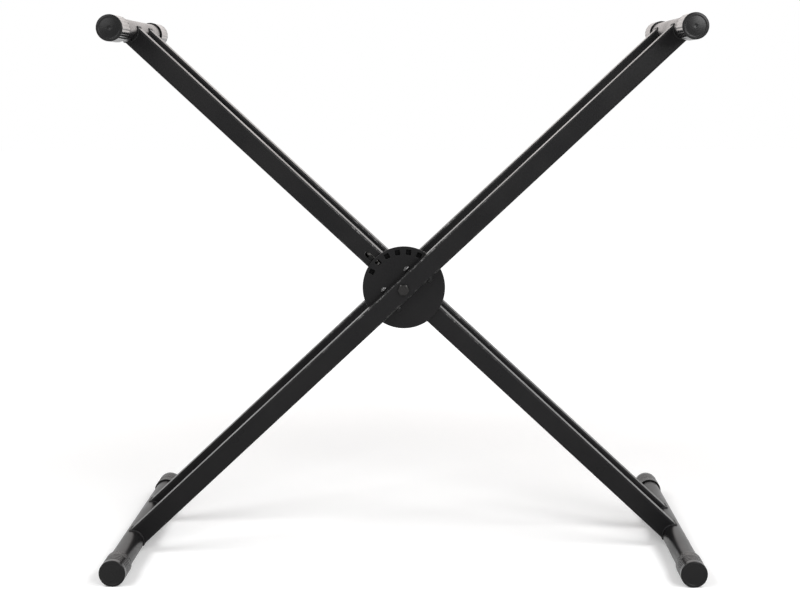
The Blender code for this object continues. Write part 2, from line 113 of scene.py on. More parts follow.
COLUMNS_PER_MARK = 8         # columns of points for one rib or diamond

# Locking disc, and the spacer disc behind it
LOCK_CIRCLE = 0.0457
LOCK_PITCH = math.radians(17.8)
LOCK_WIDER = 1
LOCK_CLOSER = 5
LOCK_LEAN = math.radians(1.3)
LOCK_HOLE_HEIGHT = 0.0066
LOCK_HOLE_WIDTH = 0.0064
LOCK_HOLE_MARGIN = 0.002     # the rings of points inside the holes stay this far off them
DISC_EDGE = 0.00035          # rounding of the lock holes' edges
DISC_RIM = 0.0011            # rounding of the disc's rim
DISC_PLAIN_COLUMNS = 72      # lines of points where the disc has no holes
TRACK_HALF_WIDTH = 0.0045    # groove in the spacer disc behind the lock holes
TRACK_DEPTH = 0.0046
SPACER_EDGE = 0.0005

# Bolts, nuts and rings
BOLT_RADIUS = 0.004
BOLT_HOLE = BOLT_RADIUS + TOUCH
BOLT_FILLET = 0.0002         # under the head
HEX_APOTHEM = 0.0065
HEX_FACE = 0.94 * HEX_APOTHEM    # radius of the round face that the chamfer leaves
HEX_CHAMFER = math.tan(math.radians(30))
HEX_CORNER_SHARE = 0.985     # corners are rounded off past this share of their radius
HEX_HEAD_HEIGHT = 0.0053
HEX_SIDE_ROWS = 0.0018, 0.0007   # rows of points on its sides, below its top and above its seat
WASHER_FACE = 0.97 * HEX_APOTHEM, 0.0004    # radius and height, under the bolt's head
THREAD_PITCH = 0.00125
THREAD_DEPTH = 0.00055
THREAD_LENGTH = 0.022
THREAD_FADE = 0.002
THREAD_CONE = 0.001          # near its end the bolt narrows to the thread's root over this length
THREAD_END = 0.0006          # and from there to its end face
THREAD_END_DEPTHS = 1.4      # the end face stops this many thread depths inside the radius
NUT_EDGE = 0.0001            # fall of the rim of the nut's round face
NUT_CHAMFERS = 0.0006, 0.0005    # height of the nut's chamfers, at its seat and its collar
COLLAR_RADIUS = 0.0060
COLLAR_HEIGHT = 0.0022
COLLAR_LIP = 0.0011          # the collar's lip turns in by this much over the nylon ring
COLLAR_ROUND = 0.0003, 0.0002    # the middle of its outer edge lies this far in and down
COLLAR_WALL_START = 0.0008   # its straight wall starts this far down
LIP_EDGE = 0.0002, 0.0003    # the lip's inner edge is broken by this, across and down
NYLON_SEAT = 0.0020          # from the collar's end to the bottom of the ring's groove
NYLON_ENDS = 0.0004, 0.0018  # the ring lies between these distances from the collar's end
NYLON_EDGE = 0.0002          # its gap to the lip, its step into the bolt hole and its rounding
RING_EDGE = 0.0003

# Welds
BEAD_RADIUS = 0.0011
BEAD_RIPPLE = 0.0019         # length of one ripple along a bead
BEAD_SWELL = 0.011           # length over which a bead slowly swells
BEAD_PROUD = 0.0002          # its middle lies this far outside the leg
BEAD_LIFT = 0.0004           # and this far above the bar
BEAD_STEP = 0.0005
BEAD_SIDES = 10
BEAD_CHANGE = 0.10, 0.05     # share of its thickness that the ripples and the swelling change
DISC_WELD_SIZES = 0.0046, 0.0037, 0.0028    # half length, half width and height
DISC_WELD_RIPPLE = 0.0042
DISC_WELD_CHANGE = 0.07      # share of its size that the ripples change
DISC_WELD_PLACES = (0.0188, 1), (-0.0207, 1), (0.0313, -1), (-0.0236, -1)    # along, side
DISC_WELD_ASIDE = 0.0026     # its middle lies this far outside the leg
DISC_WELD_SINK = 0.0002      # and this far inside the disc

# Latch
LATCH_SIDE_GAP = 0.0005
LATCH_SWING_GAP = 0.0015
LATCH_SLOT_END = 0.0659
LATCH_SLOT_WIDTH = 0.0074
LATCH_SLOT_ASIDE = 0.0010    # the slot's middle line beside the leg's
LATCH_SLOT_ROUND = 0.48      # share of the slot's width that its round ends take
LATCH_NECK_START = 0.002
LATCH_NECK_WIDTH = 0.008
LATCH_NECK_CORNER = 0.0012
LEVER_EDGE = 0.0005
LEVER_NOSE = 0.0520, 0.0598  # start and end along the leg
LEVER_NOSE_WIDTH = 0.0050
LEVER_NOSE_ASIDE = 0.0019
LEVER_NOSE_CORNER = 0.0018
LEVER_NOSE_PROUD = 0.0003    # the nose stands this far out of the leg's face
LEVER_NOSE_EDGE = 0.0006
TOOTH_LENGTH = 0.0044
GRIP_WALL = 0.003
GRIP_END_ROUND = 0.0028
GRIP_CORNER = 0.62           # share of a section's smaller half size
GRIP_WAVE = 0.0125           # length of one finger hollow
GRIP_WAVE_DEPTH = 0.0006
GRIP_WAVE_START = 0.002, 0.006
PIN_CHAMFER = 0.0004
PIN_EDGE = 0.0003
SPRING_WIRE = 0.0006
SPRING_TURNS = 3.5
SPRING_PITCH = 0.0018
SPRING_LEG = 0.014

# Light, where a lamp is (name, place, point that it faces, size, watts, colour)
WHITE = (1, 1, 1)
LAMPS = (
    ("upper left", (-1.35, -0.9, 1.85), (0, 0, 0.34), (1.8, 0.4), 26.0, WHITE),
    ("upper right", (1.35, -0.9, 1.85), (0, 0, 0.34), (1.8, 0.4), 26.0, WHITE),
    ("front right", (1.35, -3.2, 1.40), (0.1, 0, 0.5), (1.2, 1.2), 56.0, WHITE),
    ("front left", (-1.35, -3.2, 1.40), (-0.1, 0, 0.5), (1.2, 1.2), 17.0, WHITE),
    ("behind", (0, 1.5, 1.0), (0, 0, 1.0), (2.4, 0.84), 5.6, (1.0, 0.88, 0.83)),
)
WORLD_LIGHT = 0.26
FLOOR_HALF_SIZE = 14.0
FLOOR_TONES = (0.84, 0.84, 0.84, 1), (0.86, 0.86, 0.86, 1)
FLOOR_GLOW = 0.22, 0.80        # round the stand and far away
FLOOR_GLOW_REACH = 0.6, 2.0

# Camera, as the photograph was taken
CAMERA_PLACE = (0.0345, -2.4059, 0.6055)
CAMERA_YAW = 0.0169
CAMERA_PITCH = 0.1184
CAMERA_ROLL = -0.0029
CAMERA_LENS = 82.41
CAMERA_SENSOR = 36.0


def centre_of(node):
    """The middle of a node's box."""
    low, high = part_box(node)
    return np.array((low + high) / 2)


class Pair:
    """A pair of legs and its own frame: +x up the legs, +y to the rear, origin on the pivot."""

    def __init__(self, body, support_bar, base_bar):
        top, foot = centre_of(support_bar), centre_of(base_bar)
        self.body = body
        self.origin = (top + foot) / 2
        self.reach = np.linalg.norm(top - foot) / 2
        along = (top - foot) / (2 * self.reach)
        rear = np.array([0.0, 1.0, 0.0])
        self.axes = np.array([along, rear, np.cross(along, rear)])
        self.level = -math.atan2(along[2], along[0])    # the model's +x among around_y's angles

    def place(self, points):
        """Points of the pair's frame, in the model's frame."""
        return self.origin + np.asarray(points) @ self.axes

    def points_of(self, mesh):
        """A mesh's points, in the pair's frame."""
        flat = np.empty(len(mesh.vertices) * 3)
        mesh.vertices.foreach_get("co", flat)
        return (flat.reshape(-1, 3) - self.origin) @ self.axes.T

    def box(self, node):
        """Lowest and highest corner of a node, in the pair's frame."""
        points = self.points_of(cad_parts[node].data)
        return points.min(axis=0), points.max(axis=0)

    def middle_and_half(self, node):
        """Middle and half sizes of a node, in the pair's frame."""
        low, high = self.box(node)
        return (low + high) / 2, (high - low) / 2


def rounded_line(corners, radii, steps=5):
    """Polyline whose corners are arcs.

    At a corner that turns by an angle, the arc leaves the first side radius * tan(angle / 2)
    before the corner and meets the second side as far past it, but takes no more than 45% of
    the shorter side. One more point beside each end of the arc keeps the straight sides flat.
    A corner of radius 0 stays sharp.
    """
    corners = np.asarray(corners, float)
    radii = np.broadcast_to(np.asarray(radii, float), len(corners))
    before = corners - np.roll(corners, 1, axis=0)
    after = np.roll(corners, -1, axis=0) - corners
    length_in, length_out = np.linalg.norm(before, axis=1), np.linalg.norm(after, axis=1)
    shorter = np.minimum(length_in, length_out)
    way_in = before / np.maximum(length_in, SAME_POINT)[:, None]
    way_out = after / np.maximum(length_out, SAME_POINT)[:, None]
    turn = np.arctan2(way_in[:, 0] * way_out[:, 1] - way_in[:, 1] * way_out[:, 0],
                      (way_in * way_out).sum(axis=1))
    slope = np.maximum(np.tan(np.abs(turn) / 2), SAME_POINT)
    reach = np.minimum(radii * slope, 0.45 * shorter)
    spare = np.minimum(0.4 * reach, 0.49 * shorter - reach)
    start = corners - way_in * reach[:, None]
    left = np.stack([-way_in[:, 1], way_in[:, 0]], axis=1)
    centre = start + left * (np.sign(turn) * reach / slope)[:, None]
    angle = turn[:, None] * np.linspace(0, 1, steps + 1)
    arm = (start - centre)[:, None]
    cos, sin = np.cos(angle), np.sin(angle)
    arc = centre[:, None] + np.stack([arm[..., 0] * cos - arm[..., 1] * sin,
                                      arm[..., 0] * sin + arm[..., 1] * cos], axis=-1)
    first = (start - way_in * spare[:, None])[:, None]
    last = arc[:, -1:] + (way_out * spare[:, None])[:, None]
    line = np.concatenate([first, arc, last], axis=1).reshape(-1, 2)
    step = np.linalg.norm(line - np.roll(line, 1, axis=0), axis=1)
    step[0] = max(step[0], 2 * SAME_POINT)
    return line[step > SAME_POINT]


def refined(line, step):
    """The same polyline with further points, so that neighbours are at most a step apart."""
    lengths = np.linalg.norm(np.diff(line, axis=0), axis=1)
    travelled = np.concatenate([[0.0], np.cumsum(lengths)])
    marks = np.union1d(travelled, np.arange(0, travelled[-1], step))
    near = np.diff(marks, prepend=-1.0) < step / 8
    marks = marks[~near | np.isin(marks, travelled)]
    return np.stack([np.interp(marks, travelled, line[:, k]) for k in range(2)], axis=1)


def smooth_step(value, low, high):
    """0 below low, 1 above high and 3t^2 - 2t^3 in between."""
    t = np.clip((value - low) / (high - low), 0, 1)
    return t * t * (3 - 2 * t)


def round_angles(sides):
    """Evenly spaced angles of one turn."""
    return np.arange(sides) / sides * TURN


def around_y(line, angles, middle=(0.0, 0.0, 0.0), side=1):
    """Grid of a profile of (radius, height) points turned about an axis along y.

    A point is middle + (radius * cos, side * height, radius * sin) of its angle. The radius
    and height may also be whole (rows, columns) arrays.
    """
    radius, height = (np.broadcast_to(part, (len(part), len(angles))) if part.ndim == 2
                      else np.repeat(part[:, None], len(angles), axis=1) for part in line)
    return np.stack([middle[0] + radius * np.cos(angles), middle[1] + side * height,
                     middle[2] + radius * np.sin(angles)], axis=-1)


def swept(path, radius, sides):
    """Grid of a round wire along an open path, whose ends close in a point.

    At each point the circle lies across the path's direction, on two axes made from that
    direction and a fixed one that it never runs along.
    """
    direction = np.gradient(path, axis=0)
    radius = np.concatenate([[0.0], np.broadcast_to(radius, len(path)), [0.0]])
    path = np.concatenate([path[:1], path, path[-1:]])
    direction = np.concatenate([direction[:1], direction, direction[-1:]])
    direction = direction / np.linalg.norm(direction, axis=1)[:, None]
    fixed = np.eye(3)[np.argmin(np.abs(direction).max(axis=0))]
    first = np.cross(direction, fixed)
    first = first / np.linalg.norm(first, axis=1)[:, None]
    second = np.cross(direction, first)
    angles = round_angles(sides)[None, :, None]
    ring = first[:, None] * np.cos(angles) + second[:, None] * np.sin(angles)
    return path[:, None] + ring * radius[:, None, None]


def rework(mesh, *operations):
    """The mesh after these changes, each a function of its bmesh."""
    bm = bmesh.new()
    bm.from_mesh(mesh)
    for operation in operations:
        operation(bm)
    bm.to_mesh(mesh)
    bm.free()
    return mesh


def merge_points(bm, distance=SAME_POINT):
    """Make one point of those that lie within a distance of each other."""
    bmesh.ops.remove_doubles(bm, verts=bm.verts, dist=distance)


def face_outwards(bm):
    """Turn all faces of closed surfaces outwards."""
    bmesh.ops.recalc_face_normals(bm, faces=bm.faces)


def surface_mesh(name, points, wrap_rows=False):
    """Mesh of a grid of points (rows, columns, 3), with a quad between four neighbours.

    The columns wrap round, and so do the rows where asked. Points that fall together, as at
    a pole, are merged, which closes the surface, and the faces are turned outwards.
    """
    rows, columns = points.shape[:2]
    row = np.arange(rows if wrap_rows else rows - 1)[:, None]
    column = np.arange(columns)[None, :]
    next_row, next_column = (row + 1) % rows, (column + 1) % columns
    quads = np.stack([row * columns + column, row * columns + next_column,
                      next_row * columns + next_column, next_row * columns + column], axis=-1)
    mesh = bpy.data.meshes.new(name)
    mesh.from_pydata(points.reshape(-1, 3), [], quads.reshape(-1, 4))
    return rework(mesh, merge_points, face_outwards)


def new_object(name, data):
    """An object in the scene that shows this data."""
    made = bpy.data.objects.new(name, data)
    scene.collection.objects.link(made)
    return made


def worked(mesh, *steps):
    """The mesh after these modifiers, as (type, settings) pairs, worked out and kept."""
    holder = new_object("holder", mesh)
    for kind, settings in steps:
        modifier = holder.modifiers.new(kind, kind)
        for key, value in settings.items():
            setattr(modifier, key, value)
    evaluated = holder.evaluated_get(bpy.context.evaluated_depsgraph_get())
    result = bpy.data.meshes.new_from_object(evaluated)
    result.name = mesh.name + "_worked"
    bpy.data.objects.remove(holder)
    return result


def bevelled(mesh, width):
    """The mesh with its sharp edges rounded over this width."""
    return worked(mesh, ("BEVEL", {"width": width, "segments": 3, "limit_method": "ANGLE",
                                   "angle_limit": BEVEL_TURN}))


def cut(mesh, *tools):
    """The mesh with each of these closed meshes cut out of it."""
    holders = [new_object("tool", tool) for tool in tools]
    result = worked(mesh, *[("BOOLEAN", {"object": holder, "operation": "DIFFERENCE",
                                         "solver": "EXACT"}) for holder in holders])
    for holder in holders:
        bpy.data.objects.remove(holder)
    return result


def mark_edges(mesh, size):
    """Keep how sharply the surface bends outwards at each point, as the attribute edge.

    Along a mesh edge the bend is the change of normal over the change of place. Its mean
    over a point's edges, times a size, is 1 or more on a corner as tight as that size.
    """
    count = len(mesh.vertices)
    place, normal = np.empty(count * 3), np.empty(count * 3)
    mesh.vertices.foreach_get("co", place)
    mesh.vertex_normals.foreach_get("vector", normal)
    place, normal = place.reshape(-1, 3), normal.reshape(-1, 3)
    pairs = np.empty(len(mesh.edges) * 2, np.int32)
    mesh.edges.foreach_get("vertices", pairs)
    a, b = pairs.reshape(-1, 2).T
    span = place[b] - place[a]
    square = np.maximum((span ** 2).sum(axis=1), SAME_POINT ** 2)
    bend = ((normal[b] - normal[a]) * span).sum(axis=1) / square
    total, seen = np.zeros(count), np.zeros(count)
    for end in (a, b):
        np.add.at(total, end, np.maximum(bend, 0))
        np.add.at(seen, end, 1)
    edge = np.clip(total / np.maximum(seen, 1) * size, 0, 1)
    attribute = mesh.attributes.new("edge", "FLOAT", "POINT")
    attribute.data.foreach_set("value", edge.astype(np.float32))


def add_piece(name, mesh, body, finish, *nodes, bend=TUBE_BEND):
    """Put a finished mesh on a body, in place of these CAD nodes."""
    slot, material = finish
    mesh.shade_smooth()
    mesh.set_sharp_from_angle(angle=CREASE)
    mark_edges(mesh, bend)
    mesh.materials.clear()
    mesh.materials.append(material)
    piece = new_object(name, mesh)
    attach(piece, body)
    if nodes:
        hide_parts(*nodes)


def add_surface(name, pair, points, finish, *nodes, body=None, bend=TUBE_BEND, wrap_rows=False):
    """Put a grid of points of a pair's frame on its body, or on another one that it carries."""
    mesh = surface_mesh(name, pair.place(points), wrap_rows)
    add_piece(name, mesh, body or pair.body, finish, *nodes, bend=bend)


# Materials

DUST_COLOR = (0.35, 0.34, 0.32, 1)
TONE_RANGE = 0.3, 0.7        # the noise over this range carries one tone to the other


def new_group(name, inputs, outputs):
    """An empty shader group with these float inputs (name: value) and outputs (name: type)."""
    group = bpy.data.node_groups.new(name, "ShaderNodeTree")
    for label, value in inputs.items():
        made = group.interface.new_socket(label, in_out="INPUT", socket_type="NodeSocketFloat")
        made.default_value = value
    for label, kind in outputs.items():
        group.interface.new_socket(label, in_out="OUTPUT", socket_type=kind)
    nodes = Nodes(group)
    return nodes, nodes.add("NodeGroupInput").outputs


class Nodes:
    """Short ways to add and link nodes in one tree."""

    def __init__(self, tree):
        self.tree = tree

    def add(self, kind, settings=(), **inputs):
        """Add a node; an input is a value or another node's output."""
        node = self.tree.nodes.new(kind)
        for key, value in dict(settings).items():
            setattr(node, key, value)
        for key, value in inputs.items():
            self.feed(node.inputs[key.replace("_", " ")], value)
        return node

    def group(self, tree, **inputs):
        """Place a shader group and return its outputs."""
        return self.add("ShaderNodeGroup", {"node_tree": tree}, **inputs).outputs

    def feed(self, socket, value):
        """Set a socket, or link an output to it."""
        if isinstance(value, bpy.types.NodeSocket):
            self.tree.links.new(value, socket)
        else:
            socket.default_value = value

    def feed_all(self, sockets, *values):
        """Set or link several sockets in their order."""
        for socket, value in zip(sockets, values):
            self.feed(socket, value)

    def math(self, operation, first, second=0.0, clamp=False):
        """A Math node's output."""
        node = self.add("ShaderNodeMath", {"operation": operation, "use_clamp": clamp})
        self.feed_all(node.inputs, first, second)
        return node.outputs[0]

    def vector_math(self, operation, *values):
        """A Vector Math node's outputs."""
        node = self.add("ShaderNodeVectorMath", {"operation": operation})
        self.feed_all(node.inputs, *values)
        return node.outputs

    def place(self):
        """Object coordinates."""
        return self.add("ShaderNodeTexCoord").outputs["Object"]

    def noise(self, scale, detail=3.0, roughness=0.5, vector=None):
        """A noise in object coordinates, about 0.5."""
        if vector is None:
            vector = self.place()
        node = self.add("ShaderNodeTexNoise", Vector=vector, Scale=scale, Detail=detail,
                        Roughness=roughness)
        return node.outputs["Fac"]

    def ramp(self, value, low, high, out_low=0.0, out_high=1.0):
        """A value carried smoothly from one range to another."""
        node = self.add("ShaderNodeMapRange", {"interpolation_type": "SMOOTHSTEP"}, Value=value,
                        From_Min=low, From_Max=high, To_Min=out_low, To_Max=out_high)
        return node.outputs["Result"]

    def mix(self, share, first, second):
        """A colour between two others."""
        node = self.add("ShaderNodeMix", {"data_type": "RGBA"})
        self.feed_all((node.inputs[0], node.inputs[6], node.inputs[7]), share, first, second)
        return node.outputs[2]


def new_material(name):
    """An empty material, as (material, nodes, shader)."""
    material = bpy.data.materials.new(name)
    material.use_nodes = True
    tree = material.node_tree
    return material, Nodes(tree), tree.nodes["Principled BSDF"]


def make_grain_group():
    """Surface relief in two sizes: broad soft waves under a fine grit."""
    nodes, given = new_group(
        "surface grain",
        {"Wave scale": 300.0, "Grit scale": 1200.0, "Grit share": 0.3},
        {"Height": "NodeSocketFloat", "Tone": "NodeSocketFloat"})
    wave = nodes.noise(given["Wave scale"], detail=2.0)
    grit = nodes.noise(given["Grit scale"], detail=3.0, roughness=0.6)
    height = nodes.math("ADD", wave, nodes.math("MULTIPLY", grit, given["Grit share"]))
    tone = nodes.noise(11.0, detail=4.0, roughness=0.55)
    nodes.add("NodeGroupOutput", Height=height, Tone=tone)
    return nodes.tree


def make_wear_group():
    """Where handling has rubbed a surface: corners that stand out, broken up by a noise."""
    nodes, given = new_group(
        "edge wear",
        {"Edge": 0.0, "Start": 0.5, "Full": 1.0, "Break scale": 90.0},
        {"Mask": "NodeSocketFloat"})
    broken = nodes.noise(given["Break scale"], detail=5.0, roughness=0.65)
    kept = nodes.ramp(broken, low=0.35, high=0.65, out_low=0.45, out_high=1.15)
    rubbed = nodes.math("MULTIPLY", given["Edge"], kept)
    nodes.add("NodeGroupOutput", Mask=nodes.ramp(rubbed, given["Start"], given["Full"]))
    return nodes.tree


def make_dust_group():
    """A thin film of dust on what faces up, in soft patches."""
    nodes, given = new_group("dust film", {"Patch scale": 35.0}, {"Mask": "NodeSocketFloat"})
    normal = nodes.add("ShaderNodeNewGeometry").outputs["Normal"]
    up = nodes.add("ShaderNodeSeparateXYZ", Vector=normal).outputs["Z"]
    facing = nodes.ramp(up, low=0.1, high=0.9)
    patches = nodes.noise(given["Patch scale"], detail=6.0, roughness=0.7)
    patches = nodes.ramp(patches, low=0.3, high=0.75)
    nodes.add("NodeGroupOutput", Mask=nodes.math("MULTIPLY", facing, patches))
    return nodes.tree


def make_brush_group():
    """Fine turned or drawn lines: a noise squeezed along one axis."""
    nodes, given = new_group("tool lines", {"Across": 2600.0, "Along": 60.0},
                             {"Height": "NodeSocketFloat"})
    scale = nodes.add("ShaderNodeCombineXYZ", X=given["Along"], Y=given["Across"],
                      Z=given["Along"])
    squeezed = nodes.vector_math("MULTIPLY", nodes.place(), scale.outputs[0])
    lines = nodes.noise(1.0, detail=2.0, vector=squeezed[0])
    nodes.add("NodeGroupOutput", Height=lines)
    return nodes.tree


GRAIN = make_grain_group()
WEAR = make_wear_group()
DUST = make_dust_group()
TOOL_LINES = make_brush_group()


def make_finish(slot, name, tones, worn, roughness, relief, grain, wear, dust=0.0,
                lines=0.0, worn_metal=0.0, **shader_values):
    """A finished surface for a material slot.

    Its colour runs between two near tones, goes to the worn colour on rubbed edges, which may
    be metallic, and to pale dust on what faces up. Its roughness holds the value at each tone
    and what rubbing takes off, and its relief is the grain, with tool lines where they are
    asked for.
    """
    material, nodes, shader = new_material(name)
    surface = nodes.group(GRAIN, **grain)
    tone = nodes.ramp(surface["Tone"], *TONE_RANGE)
    edge = nodes.add("ShaderNodeAttribute", {"attribute_name": "edge"}).outputs["Fac"]
    rubbed = nodes.group(WEAR, Edge=edge, **wear)["Mask"]
    base = nodes.mix(tone, *((*color, 1) for color in tones))
    base = nodes.mix(rubbed, base, (*worn, 1))
    rough = nodes.ramp(tone, 0.0, 1.0, roughness[0], roughness[1])
    rough = nodes.math("SUBTRACT", rough, nodes.math("MULTIPLY", rubbed, roughness[2]))
    if dust:
        share = nodes.math("MULTIPLY", nodes.group(DUST)["Mask"], dust)
        base = nodes.mix(share, base, DUST_COLOR)
        rough = nodes.math("ADD", rough, share, clamp=True)
    height = surface["Height"]
    if lines:
        marks = nodes.math("MULTIPLY", nodes.group(TOOL_LINES)["Height"], lines)
        height = nodes.math("ADD", height, marks)
    bump = nodes.add("ShaderNodeBump", Height=height, Distance=relief, Strength=1.0)
    if worn_metal:
        nodes.feed(shader.inputs["Metallic"], nodes.math("MULTIPLY", rubbed, worn_metal))
    nodes.feed(shader.inputs["Base Color"], base)
    nodes.feed(shader.inputs["Roughness"], rough)
    nodes.feed(shader.inputs["Normal"], bump.outputs["Normal"])
    for key, value in shader_values.items():
        shader.inputs[key.replace("_", " ")].default_value = value
    return slot, material


PAINT = make_finish(
    "frame_paint", "satin black powder coat",
    tones=((0.0062, 0.0061, 0.0065), (0.0086, 0.0083, 0.0086)),
    worn=(0.065, 0.064, 0.0635), roughness=(0.27, 0.34, 0.12), relief=0.000012,
    grain={"Wave_scale": 420.0, "Grit_scale": 1500.0, "Grit_share": 0.35},
    wear={"Start": 0.40, "Full": 0.80, "Break_scale": 120.0}, dust=0.008, worn_metal=0.9,
    Specular_IOR_Level=0.10)
WELD_PAINT = make_finish(
    "frame_paint", "powder coat over weld",
    tones=((0.0080, 0.0079, 0.0084), (0.0110, 0.0106, 0.0110)),
    worn=(0.030, 0.029, 0.029), roughness=(0.26, 0.36, 0.04), relief=0.00003,
    grain={"Wave_scale": 700.0, "Grit_scale": 1900.0, "Grit_share": 0.5},
    wear={"Start": 0.9, "Full": 1.6, "Break_scale": 200.0}, Specular_IOR_Level=0.14)
# Glossier copy of the weld coat, used only on the upper disc welds so that they catch a bright
# highlight that the lower ones, in the duller coat, do not: a painted highlight by side.
UPPER_WELD_HIGHLIGHT_PAINT = make_finish(
    "frame_paint", "glossier weld coat for highlights on upper welds",
    tones=((0.0060, 0.0059, 0.0062), (0.0085, 0.0083, 0.0085)),
    worn=(0.030, 0.029, 0.029), roughness=(0.13, 0.20, 0.02), relief=0.00001,
    grain={"Wave_scale": 500.0, "Grit_scale": 1700.0, "Grit_share": 0.3},
    wear={"Start": 0.9, "Full": 1.6, "Break_scale": 200.0}, Specular_IOR_Level=0.8)
RUBBER = make_finish(
    "cap_rubber", "moulded black rubber",
    tones=((0.0040, 0.0040, 0.0042), (0.0062, 0.0060, 0.0062)),
    worn=(0.036, 0.035, 0.035), roughness=(0.22, 0.29, -0.05), relief=0.000013,
    grain={"Wave_scale": 800.0, "Grit_scale": 2300.0, "Grit_share": 0.8},
    wear={"Start": 0.6, "Full": 1.5, "Break_scale": 260.0}, dust=0.015,
    Specular_IOR_Level=0.18)
FASTENER = make_finish(
    "black_fastener", "blackened steel",
    tones=((0.017, 0.0166, 0.0164), (0.025, 0.0243, 0.0238)),
    worn=(0.14, 0.136, 0.132), roughness=(0.16, 0.23, 0.04), relief=0.000008,
    grain={"Wave_scale": 900.0, "Grit_scale": 2600.0, "Grit_share": 0.4},
    wear={"Start": 0.55, "Full": 1.2, "Break_scale": 300.0}, lines=0.5, Metallic=0.9,
    Specular_IOR_Level=0.25)
LEVER_BLACK = make_finish(
    "black_fastener", "blackened lever",
    tones=((0.0040, 0.0040, 0.0041), (0.0060, 0.0059, 0.0058)),
    worn=(0.080, 0.078, 0.075), roughness=(0.30, 0.40, 0.10), relief=0.00001,
    grain={"Wave_scale": 900.0, "Grit_scale": 2600.0, "Grit_share": 0.4},
    wear={"Start": 0.40, "Full": 0.95, "Break_scale": 300.0}, lines=0.3, worn_metal=0.9,
    Specular_IOR_Level=0.08)
STEEL = make_finish(
    "bare_steel", "plain steel",
    tones=((0.50, 0.50, 0.51), (0.60, 0.59, 0.58)),
    worn=(0.75, 0.74, 0.73), roughness=(0.26, 0.40, 0.06), relief=0.000008,
    grain={"Wave_scale": 700.0, "Grit_scale": 2600.0, "Grit_share": 0.3},
    wear={"Start": 0.55, "Full": 1.2, "Break_scale": 300.0}, lines=0.8, Metallic=1.0)
NYLON = make_finish(
    "dark_nylon", "dark nylon",
    tones=((0.0040, 0.0040, 0.0043), (0.0060, 0.0060, 0.0063)),
    worn=(0.020, 0.020, 0.020), roughness=(0.42, 0.52, 0.02), relief=0.00001,
    grain={"Wave_scale": 600.0, "Grit_scale": 2000.0, "Grit_share": 0.4},
    wear={"Start": 0.6, "Full": 1.3, "Break_scale": 300.0}, Specular_IOR_Level=0.06)


# Legs


def square_section(half, corner, arc_steps=8):
    """Outline of a rounded square, as (y, z) points.

    Each side is a run of points at y = half, closer together near its ends, and then a
    quarter circle about (half - corner, half - corner), all turned by a right angle a side.
    """
    flat = half - corner
    run = flat * np.array([-1, -0.95, -0.8, -0.6, -0.4, -0.2, 0, 0.2, 0.4, 0.6, 0.8, 0.95])
    angle = np.linspace(0, math.pi / 2, arc_steps + 1)[:-1]
    side = np.concatenate([
        np.stack([np.full_like(run, half), run], axis=1),
        np.stack([flat + corner * np.cos(angle), flat + corner * np.sin(angle)], axis=1)])
    turns = np.arange(4) * math.pi / 2
    cos, sin = np.cos(turns)[:, None], np.sin(turns)[:, None]
    return np.stack([side[:, 0] * cos - side[:, 1] * sin,
                     side[:, 0] * sin + side[:, 1] * cos], axis=-1).reshape(-1, 2)


def coped_end(pair, z, gap):
    """How far along the legs something ends at height z across them, this near a cross bar."""
    return pair.reach - np.sqrt((BAR_RADIUS + gap) ** 2 - z ** 2)


def prism(name, pair, outline, low, high, middle, axis):
    """Closed block: an outline carried from low to high along an axis of the pair's frame."""
    rings = np.zeros((4, len(outline), 3))
    across = [k for k in range(3) if k != axis]
    for row, (share, level) in enumerate(((0, low), (1, low), (1, high), (0, high))):
        rings[row][:, across] = outline * share
        rings[row][:, axis] = level
    return surface_mesh(name, pair.place(rings + np.asarray(middle)))


def circle(radius, sides=48):
    """Points on a circle."""
    angles = round_angles(sides)
    return radius * np.stack([np.cos(angles), np.sin(angles)], axis=1)


def rectangle(width, height, corner):
    """Outline of a rectangle about the origin with rounded corners."""
    x, y = width / 2, height / 2
    return rounded_line([(x, -y), (x, y), (-x, y), (-x, -y)], corner, steps=4)


def leg_rows(pair):
    """Places of a leg's rows of points, as shares of its length.

    They are close together near the ends and round the hub, where holes are cut.
    """
    near = np.array(LEG_END_ROWS)
    hub = np.arange(-LEG_HUB_STEP / 2, LEG_HUB_REACH, LEG_HUB_STEP)
    hub = 0.5 + hub / (2 * pair.reach)
    hub = np.concatenate([1 - hub[:0:-1], hub])
    plain = np.linspace(0.05, 0.95, 19)
    plain = plain[np.abs(plain - 0.5) > hub[-1] - 0.49]
    return np.sort(np.concatenate([near, plain, hub, 1 - near[::-1]]))


def make_leg(pair, node, tools=()):
    """Square tube with both ends coped to the cross bars.

    Each point of the section runs from the lower end's cope to the upper one's. The rows go
    up the outside and come back down the bore, which closes the tube into a ring.
    """
    middle, half = pair.middle_and_half(node)
    y, half = middle[1], half[1]
    share = leg_rows(pair)
    skins = []
    for section, order in ((square_section(half, LEG_CORNER), share),
                           (square_section(half - LEG_WALL, LEG_CORNER - LEG_WALL), share[::-1])):
        end = coped_end(pair, section[:, 1], TOUCH)
        x = end[None, :] * (2 * order[:, None] - 1)
        skins.append(np.stack([x, np.broadcast_to(section[:, 0] + y, x.shape),
                               np.broadcast_to(section[:, 1], x.shape)], axis=-1))
    mesh = surface_mesh(node + "_tube", pair.place(np.concatenate(skins)), wrap_rows=True)
    bolt_hole = prism("bolt_hole", pair, circle(BOLT_HOLE), -half - LEG_WALL, half + LEG_WALL,
                      (0, y, 0), axis=1)
    add_piece(node + "_tube", cut(mesh, bolt_hole, *tools), pair.body, PAINT, node)


